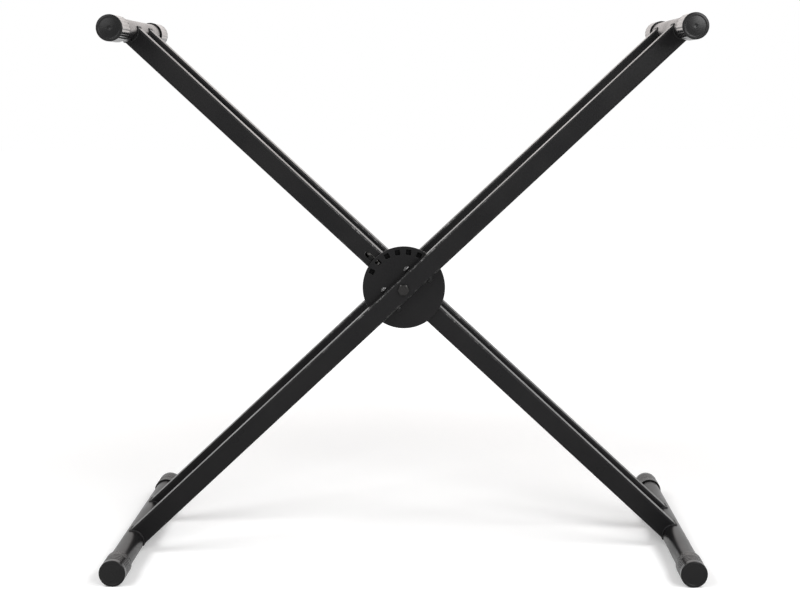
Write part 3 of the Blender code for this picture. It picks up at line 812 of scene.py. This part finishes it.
def latch_slot_tools(pair):
    """Blocks that open the inner front leg for the tooth, the lever's neck and the pin."""
    pin, pin_half = pair.middle_and_half("latch_pin")
    lever_low, lever_high = pair.box("latch_lever")
    leg_low, leg_high = pair.box("inner_front_leg")
    start = lever_low[0] - LATCH_SWING_GAP - LATCH_SLOT_WIDTH / 3
    front = prism("tooth_slot", pair, rectangle(LATCH_SLOT_END - start, LATCH_SLOT_WIDTH,
                                                LATCH_SLOT_ROUND * LATCH_SLOT_WIDTH),
                  leg_low[1] - LEG_WALL, leg_low[1] + 2 * LEG_WALL,
                  ((start + LATCH_SLOT_END) / 2, 0, LATCH_SLOT_ASIDE), axis=1)
    neck = pin[0] + LATCH_NECK_START + LATCH_NECK_WIDTH / 2
    width = lever_high[2] - lever_low[2] + 2 * LATCH_SIDE_GAP
    rear = prism("neck_slot", pair, rectangle(LATCH_NECK_WIDTH + 2 * LATCH_SWING_GAP, width,
                                              LATCH_NECK_CORNER),
                 leg_high[1] - 2 * LEG_WALL, leg_high[1] + LEG_WALL, (neck, 0, 0), axis=1)
    reach = (leg_high[1] - leg_low[1]) / 2 + LEG_WALL
    pin_hole = prism("pin_hole", pair, circle(pin_half[0] + TOUCH), -reach, reach, pin, axis=2)
    return front, rear, pin_hole


# Cross bars and their caps


def make_bar(pair, node, x):
    """Round tube: the profile goes down the outside and back up the bore."""
    half = pair.middle_and_half(node)[1][1]
    bore = BAR_RADIUS - BAR_WALL
    profile = rounded_line([(BAR_RADIUS, half), (BAR_RADIUS, -half), (bore, -half),
                            (bore, half)], BAR_END_ROUND, steps=2)
    profile = refined(np.concatenate([profile, profile[:1]]), BAR_ROW_STEP)[:-1]
    points = around_y(profile.T, round_angles(BAR_SIDES), (x, 0, 0))
    add_surface(node + "_tube", pair, points, PAINT, node, wrap_rows=True)


def cap_profile(length):
    """Section of a cap from the middle of its face, over the skirt, to inside its bore.

    Points are (radius, height), with height 0 at the face and falling towards the mouth.
    The dome falls by its sink times (radius / its edge)^2, and the dimple in its middle by
    its own sink times exp(-(radius / its radius)^2). The bore keeps only its corners.
    """
    radius = np.linspace(0, CAP_DOME_EDGE, 24)[:-1]
    fall = CAP_DOME_SINK * (radius / CAP_DOME_EDGE) ** 2
    dimple = CAP_DIMPLE_SINK * np.exp(-(radius / CAP_DIMPLE_RADIUS) ** 2)
    bore = BAR_RADIUS + TOUCH
    corners = {
        (CAP_DOME_EDGE, -CAP_DOME_SINK): 0,
        (CAP_VALLEY, -CAP_VALLEY_SINK): CAP_VALLEY_ROUND,
        (CAP_RIM_EDGE, -CAP_RIM_SINK): CAP_RIM_TOP_ROUND,
        (CAP_RADIUS, -CAP_RIM_FALL): CAP_RIM_ROUND,
        (CAP_RADIUS, -length): CAP_MOUTH_ROUND,
        (bore, -length): CAP_BORE_ROUND,
        (bore, -CAP_END_WALL): CAP_BORE_ROUND,
        (0.0, -CAP_END_WALL): 0,
    }
    line = np.concatenate([np.stack([radius, -fall - dimple], axis=1),
                           rounded_line(list(corners), list(corners.values()))])
    mouth = np.argmin(line[:, 1])
    return np.concatenate([refined(line[:mouth + 1], CAP_ROW_STEP), line[mouth + 1:]])


def groove_cut(height):
    """Depth of the ring grooves: a narrow dip exp(-(distance / half width)^2) at each."""
    place = (-height - FOOT_CAP_GROOVE) / FOOT_CAP_PITCH
    nearest = np.clip(np.round(place), 0, FOOT_CAP_GROOVES - 1)
    distance = (place - nearest) * FOOT_CAP_PITCH
    return GROOVE_DEPTH * np.exp(-(2 * distance / GROOVE_WIDTH) ** 2)


def rib_relief(height, angles, length):
    """Ribs along a support cap's skirt, with a groove ((1 - cos) / 2)^2 between each two."""
    dip = (0.5 - 0.5 * np.cos(angles * SUPPORT_CAP_RIBS)) ** 2
    run = smooth_step(-height, *RIB_START) * smooth_step(height, -length, -length + RIB_FADE)
    return RIB_DEPTH * run[:, None] * dip[None, :]


def hatch_relief(height, angles, length):
    """Ring grooves round a foot cap, and behind them two crossed sets of slanting lines.

    A line lies where count * angle + or - a turn for each period of the height is a whole
    turn. Its depth is ((1 + cos) / 2)^6 of that, which makes it narrow.
    """
    along = -TURN * height[:, None] / HATCH_PERIOD
    around = HATCH_COUNT * angles[None, :]
    lines = [(0.5 + 0.5 * np.cos(around + way * along)) ** 6 for way in (1, -1)]
    end = length - HATCH_MARGIN
    run = smooth_step(-height, HATCH_START, HATCH_START + HATCH_FADE) * smooth_step(
        height, -end, -end + HATCH_FADE)
    return groove_cut(height)[:, None] + HATCH_DEPTH * run[:, None] * np.maximum(*lines)


def make_cap(pair, node, x, side, relief, columns):
    """Rubber cap: its profile turned about the bar, less the relief on its skirt."""
    low, high = pair.box(node)
    face = high[1] if side > 0 else low[1]
    length = high[1] - low[1]
    radius, height = cap_profile(length).T
    thin, thick = CAP_RELIEF_WALL
    skirt = smooth_step(radius, BAR_RADIUS + thin, BAR_RADIUS + thick)
    angles = round_angles(columns)
    radius = radius[:, None] - skirt[:, None] * relief(height, angles, length)
    points = around_y((radius, height), angles, (x, face, 0), side)
    add_surface(node + "_moulding", pair, points, RUBBER, node, bend=RUBBER_BEND)


def make_bar_with_caps(pair, x, bar, cap, relief, marks):
    """A cross bar of a pair and the caps on its two ends, with so many ribs or diamonds."""
    make_bar(pair, bar, x)
    for end, side in (("_front", -1), ("_rear", 1)):
        make_cap(pair, cap + end, x, side, relief, COLUMNS_PER_MARK * marks)


# Welds


def ripple(travelled, seed):
    """Thickness of a weld bead along its length: even ripples with slow random swelling."""
    random = np.random.default_rng(seed)
    waves = random.uniform(0, TURN, 3)
    slow = sum(np.sin(travelled / (BEAD_SWELL * (k + 1.3)) + waves[k]) for k in range(3))
    even = np.cos(TURN * travelled / BEAD_RIPPLE)
    return 1 + BEAD_CHANGE[0] * even + BEAD_CHANGE[1] * slow


def swept_ring(path, radius, sides):
    """Grid of a round bead along a closed path round the x axis.

    The circle at each point lies on the x axis and on the outward direction across it.
    """
    direction = np.roll(path, -1, axis=0) - np.roll(path, 1, axis=0)
    direction = direction / np.linalg.norm(direction, axis=1)[:, None]
    outward = np.cross(direction, [1.0, 0.0, 0.0])
    outward = outward / np.linalg.norm(outward, axis=1)[:, None]
    along = np.cross(outward, direction)
    angles = round_angles(sides)[None, :, None]
    ring = outward[:, None] * np.cos(angles) + along[:, None] * np.sin(angles)
    return path[:, None] + ring * radius[:, None, None]


def make_leg_weld(pair, node, end, seed):
    """Weld bead round a leg's coped end: the outline of the tube laid on the cross bar."""
    middle, half = pair.middle_and_half(node)
    section = square_section(half[1] + BEAD_PROUD, LEG_CORNER, arc_steps=6)
    section = refined(np.concatenate([section, section[:1]]), BEAD_STEP)[:-1]
    x = end * coped_end(pair, section[:, 1], BEAD_LIFT)
    path = np.stack([x, section[:, 0] + middle[1], section[:, 1]], axis=1)
    step = np.linalg.norm(np.diff(path, axis=0, prepend=path[-1:]), axis=1)
    radius = BEAD_RADIUS * ripple(np.cumsum(step), seed)
    add_surface(node + ("_upper_weld" if end > 0 else "_lower_weld"), pair,
                swept_ring(path, radius, BEAD_SIDES), WELD_PAINT, wrap_rows=True, bend=WELD_BEND)


def make_tack_weld(name, pair, middle, seed, finish):
    """Short weld between a leg's side and the disc: a half-sunk egg with ripples along it.

    A point is the egg's middle plus its three half sizes times the sines and cosines of a
    longitude and a latitude, with the ripples as a small change of size along the egg.
    """
    length, width, height = DISC_WELD_SIZES
    longitude = round_angles(36)[None, :]
    latitude = np.linspace(-math.pi / 2, math.pi / 2, 33)[:, None]
    travelled = np.sin(latitude) * length
    size = 1 + DISC_WELD_CHANGE * np.cos(TURN * travelled / DISC_WELD_RIPPLE + 2.1 * seed)
    points = np.stack([
        middle[0] + travelled + 0 * longitude,
        middle[1] + height * size * np.cos(latitude) * np.sin(longitude),
        middle[2] + width * size * np.cos(latitude) * np.cos(longitude)], axis=-1)
    add_surface(name, pair, points, finish, bend=WELD_BEND)


def make_disc_welds(pair):
    """Tack welds that hold the front leg on the disc, along both sides of the leg. The upper ones
    get a glossier copy of the weld coat, which catches the lamps as a highlight, and the lower
    ones the duller weld coat, which keeps them dark: a painted highlight above and painted shade
    below.
    """
    middle, half = pair.middle_and_half("outer_front_leg")
    depth = middle[1] + half[1] - DISC_WELD_SINK
    for number, (along, side) in enumerate(DISC_WELD_PLACES):
        # painted highlight and shade by side: the glossier copy of the coat above the leg, the
        # duller weld coat below it
        make_tack_weld(f"disc_weld_{number + 1}", pair,
                       (along, depth, side * (half[1] + DISC_WELD_ASIDE)), number,
                       UPPER_WELD_HIGHLIGHT_PAINT if side > 0 else WELD_PAINT)


# The locking disc


def round_rim(mesh, pair, middle, disc_radius):
    """Draw the plate's two faces together near its rim, by 1 - cos of a quarter turn."""
    points = pair.points_of(mesh)
    reach = (np.hypot(points[:, 0], points[:, 2]) - disc_radius) / DISC_RIM + 1
    drop = DISC_RIM * (1 - np.sqrt(1 - np.clip(reach, 0, 1) ** 2))
    points[:, 1] -= np.sign(points[:, 1] - middle) * drop
    mesh.vertices.foreach_set("co", pair.place(points).astype(np.float32).reshape(-1))


def disc_columns(open_angle, outer):
    """Lines of points across the disc, as (angle, distance beside that angle's line).

    A line through a lock hole keeps its distance to the hole's middle line. The others have
    distance 0. They are sorted by where they cross the holes' outer edge.
    """
    middles = open_angle - LOCK_LEAN + np.arange(-LOCK_CLOSER, LOCK_WIDER + 1) * LOCK_PITCH
    offsets = LOCK_HOLE_WIDTH / 2 * np.array([-1.4, -1, -0.5, 0, 0.5, 1, 1.4])
    hole_columns = np.stack([np.repeat(middles, len(offsets)),
                             np.tile(offsets, len(middles))], axis=1)
    between = middles[:, None] + LOCK_PITCH * np.array([-0.5, -0.39, 0.39])
    rest = np.linspace(middles[-1] + LOCK_PITCH / 2, middles[0] - LOCK_PITCH / 2 + TURN,
                       DISC_PLAIN_COLUMNS)[:-1]
    plain = np.concatenate([between.reshape(-1), rest])
    columns = np.concatenate([hole_columns, np.stack([plain, np.zeros(len(plain))], axis=1)])
    where = columns[:, 0] + np.arcsin(columns[:, 1] / outer)
    return columns[np.argsort(where)].T


def make_disc(pair, open_angle):
    """Flat disc with a row of square holes, as a polar grid thickened to a plate.

    A grid column through a hole keeps a fixed distance to the side of the hole's middle
    line, so the hole's flanks are straight, and a grid ring along a hole's edge runs square
    to that line there. The quads inside the holes are left out.
    """
    low, high = pair.box("locking_disc")
    disc_radius, depth = (high[0] - low[0]) / 2, (low[1] + high[1]) / 2
    inner, outer = LOCK_CIRCLE - LOCK_HOLE_HEIGHT / 2, LOCK_CIRCLE + LOCK_HOLE_HEIGHT / 2
    rim = disc_radius - DISC_RIM * (1 - np.sin(np.linspace(0, math.pi / 2, 6)))
    rings = np.concatenate([np.linspace(BOLT_HOLE, inner - LOCK_HOLE_MARGIN, 7),
                            np.linspace(inner, outer, 4), [(outer + rim[0]) / 2], rim])
    square = (rings > inner - SAME_POINT) & (rings < outer + SAME_POINT)
    angle, offset = disc_columns(open_angle, outer)
    aside = offset[None, :] * np.minimum(rings / inner, 1)[:, None]
    ahead = np.where(square[:, None], rings[:, None] + 0 * aside,
                     np.sqrt(np.maximum(rings[:, None] ** 2 - aside ** 2, 0)))
    x = ahead * np.cos(angle) - aside * np.sin(angle)
    z = ahead * np.sin(angle) + aside * np.cos(angle)
    points = np.stack([x, np.full_like(x, depth), z], axis=-1)
    count = len(angle)
    row = np.arange(len(rings) - 1)[:, None]
    column = np.arange(count)[None, :]
    following = (column + 1) % count
    in_hole = np.abs(offset) < LOCK_HOLE_WIDTH / 2 + SAME_POINT
    open_column = (in_hole[column] & in_hole[following]
                   & (offset[column] != offset[following]))
    keep = ~(square[row] & square[row + 1] & open_column)
    quads = np.stack(np.broadcast_arrays(row * count + column, row * count + following,
                                         (row + 1) * count + following,
                                         (row + 1) * count + column), axis=-1)[keep]
    mesh = bpy.data.meshes.new("locking_disc_plate")
    mesh.from_pydata(pair.place(points.reshape(-1, 3)), [], quads)
    mesh = worked(mesh, ("SOLIDIFY", {"thickness": high[1] - low[1], "offset": 0.0}))
    round_rim(mesh, pair, depth, disc_radius)
    mesh = rework(bevelled(mesh, DISC_EDGE), face_outwards)
    add_piece("locking_disc_plate", mesh, pair.body, PAINT, "locking_disc", bend=THIN_BEND)


# Bolts, nuts and rings


def hex_angles():
    """Angles round a hexagon from one of its corners, closer together beside each corner."""
    facet = np.radians([0, 1.4, 4, 10, 20, 30, 40, 50, 56, 58.6])
    return (np.arange(6)[:, None] * TURN / 6 + facet[None, :]).reshape(-1)


def hex_rows(levels, angles):
    """Radius and height arrays of a hexagon piece.

    Each level is (radius, hexagon share, height, chamfer). The radius runs from the circle
    to the hexagon by the share, and the chamfer drops the height by tan 30 degrees for each
    step outside the round face. The hexagon's radius at an angle is its apothem / cos(angle
    from the facet's middle), but no more than the rounded corner's.
    """
    levels = np.asarray(levels, float)
    across = angles % (TURN / 6) - TURN / 12
    corner = HEX_APOTHEM / math.cos(TURN / 12) * HEX_CORNER_SHARE
    side = np.minimum(HEX_APOTHEM / np.cos(across), corner)[None, :]
    radius = levels[:, :1] * (1 - levels[:, 1:2]) + side * levels[:, 1:2]
    drop = levels[:, 3:4] * (radius - HEX_FACE) * HEX_CHAMFER
    return radius, levels[:, 2:3] - drop


def make_bolt(pair, node, side):
    """Hexagon bolt with a washer face under its head, a shank and a real screw thread.

    The thread's groove is its depth * (1 - cos) / 2 of a turn for each pitch of the height
    and each turn of the angle.
    """
    low, high = pair.box(node)
    top = high[1] if side > 0 else -low[1]
    tip = low[1] if side > 0 else -high[1]
    angles = hex_angles()
    seat = top - HEX_HEAD_HEIGHT
    side_top, side_foot = top - HEX_SIDE_ROWS[0], seat + HEX_SIDE_ROWS[1]
    under, under_height = WASHER_FACE
    head = [(0, 0, top, 0), (HEX_FACE * 0.7, 0, top, 0), (HEX_FACE * 0.97, 0, top, 0),
            (HEX_FACE, 0, top, 0), (HEX_FACE, 0.5, top, 1), (0, 1, top, 1),
            (0, 1, side_top, 0), (0, 1, side_foot, 0), (0, 1, seat + under_height, 0),
            (under, 0, seat + under_height, 0), (under, 0, seat, 0),
            (BOLT_RADIUS + BOLT_FILLET, 0, seat, 0), (BOLT_RADIUS, 0, seat - BOLT_FILLET, 0)]
    radius, height = hex_rows(head, angles)
    thread_start = tip + THREAD_LENGTH
    rows = np.arange(thread_start, tip + THREAD_END, -THREAD_PITCH / 8)[:, None]
    phase = rows / THREAD_PITCH + angles[None, :] / TURN
    fade = smooth_step(thread_start - rows, 0, THREAD_FADE)
    groove = THREAD_DEPTH * (0.5 - 0.5 * np.cos(TURN * phase)) * fade
    cone = smooth_step(tip + THREAD_END + THREAD_CONE - rows, 0, THREAD_CONE) * THREAD_DEPTH
    thread = BOLT_RADIUS - np.maximum(groove, cone)
    end_radius = np.array([[BOLT_RADIUS - THREAD_END_DEPTHS * THREAD_DEPTH], [0.0]])
    radius = np.concatenate([radius, thread, np.broadcast_to(end_radius, (2, len(angles)))])
    height = np.concatenate([height, np.broadcast_to(rows, thread.shape),
                             np.full((2, len(angles)), tip)])
    add_surface(node + "_forged", pair, around_y((radius, height), angles + pair.level, side=side),
                FASTENER, node, bend=SMALL_BEND)


def make_nut(pair, node, side):
    """Lock nut: a chamfered hexagon with a round collar that holds a nylon ring."""
    low, high = pair.box(node)
    seat = high[1] if side > 0 else -low[1]
    end = low[1] if side > 0 else -high[1]
    angles = hex_angles()
    body_end = end + COLLAR_HEIGHT
    lip = COLLAR_RADIUS - COLLAR_LIP
    near_seat, near_collar = NUT_CHAMFERS
    inwards, down = COLLAR_ROUND
    levels = [(BOLT_HOLE, 0, seat, 0), (HEX_FACE * 0.98, 0, seat, 0),
              (HEX_FACE, 0, seat - NUT_EDGE, 0), (0, 1, seat - near_seat, 0),
              (0, 1, seat - 2 * near_seat, 0), (0, 1, body_end + 2 * near_collar, 0),
              (0, 1, body_end + near_collar, 0), (HEX_FACE, 0, body_end, 0),
              (COLLAR_RADIUS, 0, body_end - NUT_EDGE, 0),
              (COLLAR_RADIUS, 0, end + COLLAR_WALL_START, 0),
              (COLLAR_RADIUS - inwards, 0, end + down, 0),
              (lip + LIP_EDGE[0], 0, end, 0), (lip, 0, end + LIP_EDGE[1], 0),
              (lip, 0, end + NYLON_SEAT, 0), (BOLT_HOLE, 0, end + NYLON_SEAT + NUT_EDGE, 0)]
    points = around_y(hex_rows(levels, angles), angles + pair.level, side=side)
    add_surface(node + "_body", pair, points, FASTENER, node, wrap_rows=True, bend=SMALL_BEND)
    outside, inside = lip - NYLON_EDGE, BOLT_HOLE - NYLON_EDGE
    ring_top, ring_foot = (end + depth for depth in NYLON_ENDS)
    line = rounded_line([(outside, ring_foot), (outside, ring_top), (inside, ring_top),
                         (inside, ring_foot)], NYLON_EDGE, steps=3)
    add_surface(node + "_nylon", pair, around_y(line.T, round_angles(60), side=side), NYLON,
                wrap_rows=True)


def make_ring(pair, node, finish, edge=RING_EDGE):
    """Flat ring or bush on a pivot bolt: a rounded rectangle turned about the bolt."""
    middle, (_, half, outer) = pair.middle_and_half(node)
    line = rounded_line([(outer, half), (outer, -half), (BOLT_HOLE, -half), (BOLT_HOLE, half)],
                        edge, steps=4)
    points = around_y(line.T, round_angles(72), (0, middle[1], 0))
    add_surface(node + "_ring", pair, points, finish, node, wrap_rows=True, bend=SMALL_BEND)


def make_spacer_disc(pair):
    """Nylon disc between the locking disc and the inner leg, open where the tooth passes.

    The face towards the locking disc has a round track behind the lock holes, so that the
    tooth may stand proud of them.
    """
    middle, (_, half, outer) = pair.middle_and_half("front_spacer_disc")
    lever_low, lever_high = pair.box("latch_lever")
    track_out, track_in = LOCK_CIRCLE + TRACK_HALF_WIDTH, LOCK_CIRCLE - TRACK_HALF_WIDTH
    line = rounded_line([(outer, half), (outer, -half), (track_out, -half),
                         (track_out, TRACK_DEPTH - half), (track_in, TRACK_DEPTH - half),
                         (track_in, -half), (BOLT_HOLE, -half), (BOLT_HOLE, half)],
                        SPACER_EDGE, steps=4)
    mesh = surface_mesh("front_spacer_disc", pair.place(
        around_y(line.T, round_angles(144), (0, middle[1], 0))), wrap_rows=True)
    start = lever_low[0] - LATCH_SWING_GAP
    end = LOCK_CIRCLE + TOOTH_LENGTH / 2 + LATCH_SWING_GAP
    width = lever_high[2] - lever_low[2] + 2 * LATCH_SIDE_GAP
    window = prism("tooth_window", pair, rectangle(end - start, width, SPACER_EDGE), -2 * half,
                   2 * half, ((start + end) / 2, middle[1], 0), axis=1)
    add_piece("front_spacer_disc_moulding", cut(mesh, window), pair.body, NYLON,
              "front_spacer_disc", bend=SMALL_BEND)


# Latch


def make_lever(body):
    """Lever plate: a copy of the CAD node's mesh with its edges rounded.

    Its loose triangles are joined and its flat faces made whole first.
    """
    mesh = rework(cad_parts["latch_lever"].data.copy(),
                  lambda bm: merge_points(bm, SAME_POINT * 10),
                  lambda bm: bmesh.ops.dissolve_limit(bm, angle_limit=math.radians(1),
                                                      verts=bm.verts, edges=bm.edges))
    add_piece("latch_lever_plate", bevelled(mesh, LEVER_EDGE), body, LEVER_BLACK, "latch_lever",
              bend=SMALL_BEND)


def make_lever_nose(pair, body):
    """Raised end of the lever in its slot: a rounded block level with the leg's face."""
    face, depth = pair.box("inner_front_leg")[0][1], pair.box("latch_pin")[0][1]
    start, end = LEVER_NOSE
    outline = rectangle(end - start, LEVER_NOSE_WIDTH, LEVER_NOSE_CORNER)
    mesh = prism("latch_lever_nose", pair, outline, face - LEVER_NOSE_PROUD, depth,
                 ((start + end) / 2, 0, LEVER_NOSE_ASIDE), axis=1)
    add_piece("latch_lever_nose", bevelled(mesh, LEVER_NOSE_EDGE), body, LEVER_BLACK,
              bend=SMALL_BEND)


def make_grip(pair, body):
    """Rubber sleeve on the handle: rounded sections along it, waisted between the fingers.

    The rows go from the closed end over the outside to the mouth and back inside. A section
    is a rounded rectangle whose half sizes change along the sleeve: less by 1 - cos of a
    quarter turn at the closed end, and by the wave's depth * (1 - cos) / 2 along the rest.
    """
    low, high = pair.box("latch_grip")
    middle, half = (low + high) / 2, (high - low) / 2
    length = high[0] - low[0]
    from_end = np.linspace(0, 1, 60) * length
    cap = 1 - (1 - np.clip(from_end / GRIP_END_ROUND, 0, 1)) ** 2
    shrink = (1 - np.sqrt(np.clip(cap, 0, 1))) * GRIP_END_ROUND
    wave = GRIP_WAVE_DEPTH * (0.5 - 0.5 * np.cos(TURN * from_end / GRIP_WAVE))
    wave = wave * smooth_step(from_end, *GRIP_WAVE_START)
    inside = low[0] + np.linspace(0, 1, 8) * (length - GRIP_WALL)
    x = np.concatenate([[high[0]], high[0] - from_end, inside, [low[0] + length - GRIP_WALL]])
    sizes = [np.concatenate([[0], size - shrink - dip * wave,
                             np.full(len(inside), size - GRIP_WALL), [0]])
             for size, dip in ((half[1], 1.0), (half[2], 0.5))]
    corner = np.minimum(*sizes) * GRIP_CORNER
    signs = np.array([[1, 1], [-1, 1], [-1, -1], [1, -1]])
    angles = np.arange(4)[:, None] * math.pi / 2 + np.linspace(0, math.pi / 2, 7)
    y, z = (((size - corner)[:, None, None] * signs[None, :, None, k]
             + corner[:, None, None] * wheel(angles)).reshape(len(x), -1)
            for k, (size, wheel) in enumerate(zip(sizes, (np.cos, np.sin))))
    points = np.stack([np.broadcast_to(x[:, None], y.shape), y + middle[1], z + middle[2]],
                      axis=-1)
    add_surface("latch_grip_sleeve", pair, points, RUBBER, "latch_grip", body=body,
                bend=RUBBER_BEND)


def make_pin(pair):
    """Latch pin: a rod across the leg with chamfered ends."""
    middle, (radius, _, half) = pair.middle_and_half("latch_pin")
    line = rounded_line([(0, half), (radius - PIN_CHAMFER, half), (radius, half - PIN_CHAMFER),
                         (radius, -half + PIN_CHAMFER), (radius - PIN_CHAMFER, -half),
                         (0, -half)], [0, PIN_EDGE, PIN_EDGE, PIN_EDGE, PIN_EDGE, 0], steps=3)
    points = around_y(line.T, round_angles(40))[..., [0, 2, 1]] + middle
    add_surface("latch_pin_rod", pair, points, STEEL, "latch_pin", bend=SMALL_BEND)


def make_spring(pair, body):
    """Torsion spring: a helix round the pin with a straight leg at each end.

    A point of the helix is at (coil * sin, -coil * cos) of its turn, and rises by the pitch
    each turn.
    """
    pin, pin_half = pair.middle_and_half("latch_pin")
    lever_half = pair.middle_and_half("latch_lever")[1]
    coil = pin_half[0] + TOUCH + SPRING_WIRE
    start = lever_half[2] + TOUCH + SPRING_WIRE
    turn = np.linspace(0, SPRING_TURNS * TURN, 120)
    helix = np.stack([coil * np.sin(turn), -coil * np.cos(turn),
                      start + SPRING_PITCH * turn / TURN], axis=1)
    leg = np.linspace(1, 0, 12)[:, None] * np.array([-SPRING_LEG, 0, 0]) + helix[0]
    tail = np.linspace(0, 1, 12)[1:, None] * np.array([-SPRING_LEG / 2, 0, 0]) + helix[-1]
    path = np.concatenate([leg[:-1], helix, tail]) + pin
    add_surface("latch_spring_wire", pair, swept(path, SPRING_WIRE, 12), STEEL, "latch_spring",
                body=body, bend=THIN_BEND)


# Floor, light and camera


def backdrop_ray(nodes):
    """1 for a ray that comes from the camera, a reflection or clear glass, else 0."""
    path = nodes.add("ShaderNodeLightPath").outputs
    seen = nodes.math("ADD", path["Is Camera Ray"], path["Is Glossy Ray"])
    return nodes.math("ADD", seen, path["Is Transmission Ray"], clamp=True)


def make_floor():
    """Wide pale floor, which glows where it is seen directly, and more so away from the stand.

    Round the stand the light alone makes it nearly white, so the shadows stay.
    """
    mesh = bpy.data.meshes.new("floor")
    corners = FLOOR_HALF_SIZE * np.array([(-1, -1, 0), (1, -1, 0), (1, 1, 0), (-1, 1, 0)])
    mesh.from_pydata(corners, [], [(0, 1, 2, 3)])
    material, nodes, shader = new_material("pale floor")
    tone = nodes.ramp(nodes.noise(3.0, detail=4.0), *TONE_RANGE)
    nodes.feed(shader.inputs["Base Color"], nodes.mix(tone, *FLOOR_TONES))
    shader.inputs["Roughness"].default_value = 0.9
    shader.inputs["Specular IOR Level"].default_value = 0.0
    distance = nodes.vector_math("LENGTH", nodes.place())["Value"]
    strength = nodes.ramp(distance, *FLOOR_GLOW_REACH, *FLOOR_GLOW)
    glow = nodes.add("ShaderNodeEmission", Color=(1, 1, 1, 1),
                     Strength=nodes.math("MULTIPLY", backdrop_ray(nodes), strength))
    both = nodes.add("ShaderNodeAddShader")
    nodes.feed_all(both.inputs, shader.outputs[0], glow.outputs[0])
    output = material.node_tree.nodes["Material Output"]
    nodes.feed(output.inputs["Surface"], both.outputs[0])
    mesh.materials.append(material)
    new_object("floor", mesh)


def make_world():
    """White behind everything, and a soft even light a little below white."""
    world = bpy.data.worlds.new("studio")
    world.use_nodes = True
    scene.world = world
    nodes = Nodes(world.node_tree)
    background = world.node_tree.nodes["Background"]
    background.inputs["Color"].default_value = (1, 1, 1, 1)
    strength = nodes.ramp(backdrop_ray(nodes), 0.0, 1.0, WORLD_LIGHT, 1.0)
    nodes.feed(background.inputs["Strength"], strength)


def make_lamp(name, place, target, size, power, color):
    """Rectangular area lamp that faces a point."""
    lamp = bpy.data.lights.new(name, "AREA")
    lamp.shape = "RECTANGLE"
    lamp.color = color
    lamp.size, lamp.size_y = size
    lamp.energy = power
    holder = new_object(name, lamp)
    holder.location = place
    holder.rotation_euler = (Vector(target) - Vector(place)).to_track_quat("-Z", "Y").to_euler()
    holder.visible_camera = False


def make_camera():
    """The photograph's camera: level with the stand's top and tilted down a little."""
    data = bpy.data.cameras.new("camera")
    data.lens = CAMERA_LENS
    data.sensor_width = CAMERA_SENSOR
    camera = new_object("camera", data)
    place = Matrix.Translation(CAMERA_PLACE)
    yaw = Matrix.Rotation(CAMERA_YAW, 4, "Z")
    pitch = Matrix.Rotation(math.pi / 2 - CAMERA_PITCH, 4, "X")
    roll = Matrix.Rotation(CAMERA_ROLL, 4, "Z")
    camera.matrix_world = place @ yaw @ pitch @ roll
    scene.camera = camera


scene.view_settings.view_transform = "Standard"
make_camera()
make_world()
make_floor()
for lamp_values in LAMPS:
    make_lamp(*lamp_values)

outer = Pair("outer_frame", "right_support_bar", "left_base_bar")
inner = Pair("inner_frame", "left_support_bar", "right_base_bar")
open_angle = math.atan2(inner.axes[0] @ outer.axes[2], inner.axes[0] @ outer.axes[0])

legs = ((outer, "outer_front_leg", ()), (outer, "outer_rear_leg", ()),
        (inner, "inner_front_leg", latch_slot_tools(inner)), (inner, "inner_rear_leg", ()))
for pair, leg, tools in legs:
    make_leg(pair, leg, tools)
for number, (pair, leg, _) in enumerate(legs):
    make_leg_weld(pair, leg, 1, 2 * number)
    make_leg_weld(pair, leg, -1, 2 * number + 1)
for pair, support_side, base_side in ((outer, "right", "left"), (inner, "left", "right")):
    make_bar_with_caps(pair, pair.reach, support_side + "_support_bar",
                       support_side + "_support_cap", rib_relief, SUPPORT_CAP_RIBS)
    make_bar_with_caps(pair, -pair.reach, base_side + "_base_bar", base_side + "_foot_cap",
                       hatch_relief, HATCH_COUNT)

make_disc(outer, open_angle)
make_disc_welds(outer)

for title, side in (("front", -1), ("rear", 1)):
    make_bolt(outer, title + "_pivot_bolt", side)
    make_nut(outer, title + "_lock_nut", side)
    make_ring(outer, title + "_nut_washer", FASTENER)
    make_ring(inner, title + "_pivot_bushing", STEEL)

make_ring(inner, "rear_spacer", NYLON, SPACER_EDGE)
make_spacer_disc(inner)

make_lever("latch")
make_lever_nose(inner, "latch")
make_grip(inner, "latch")
make_pin(inner)
make_spring(inner, "latch")
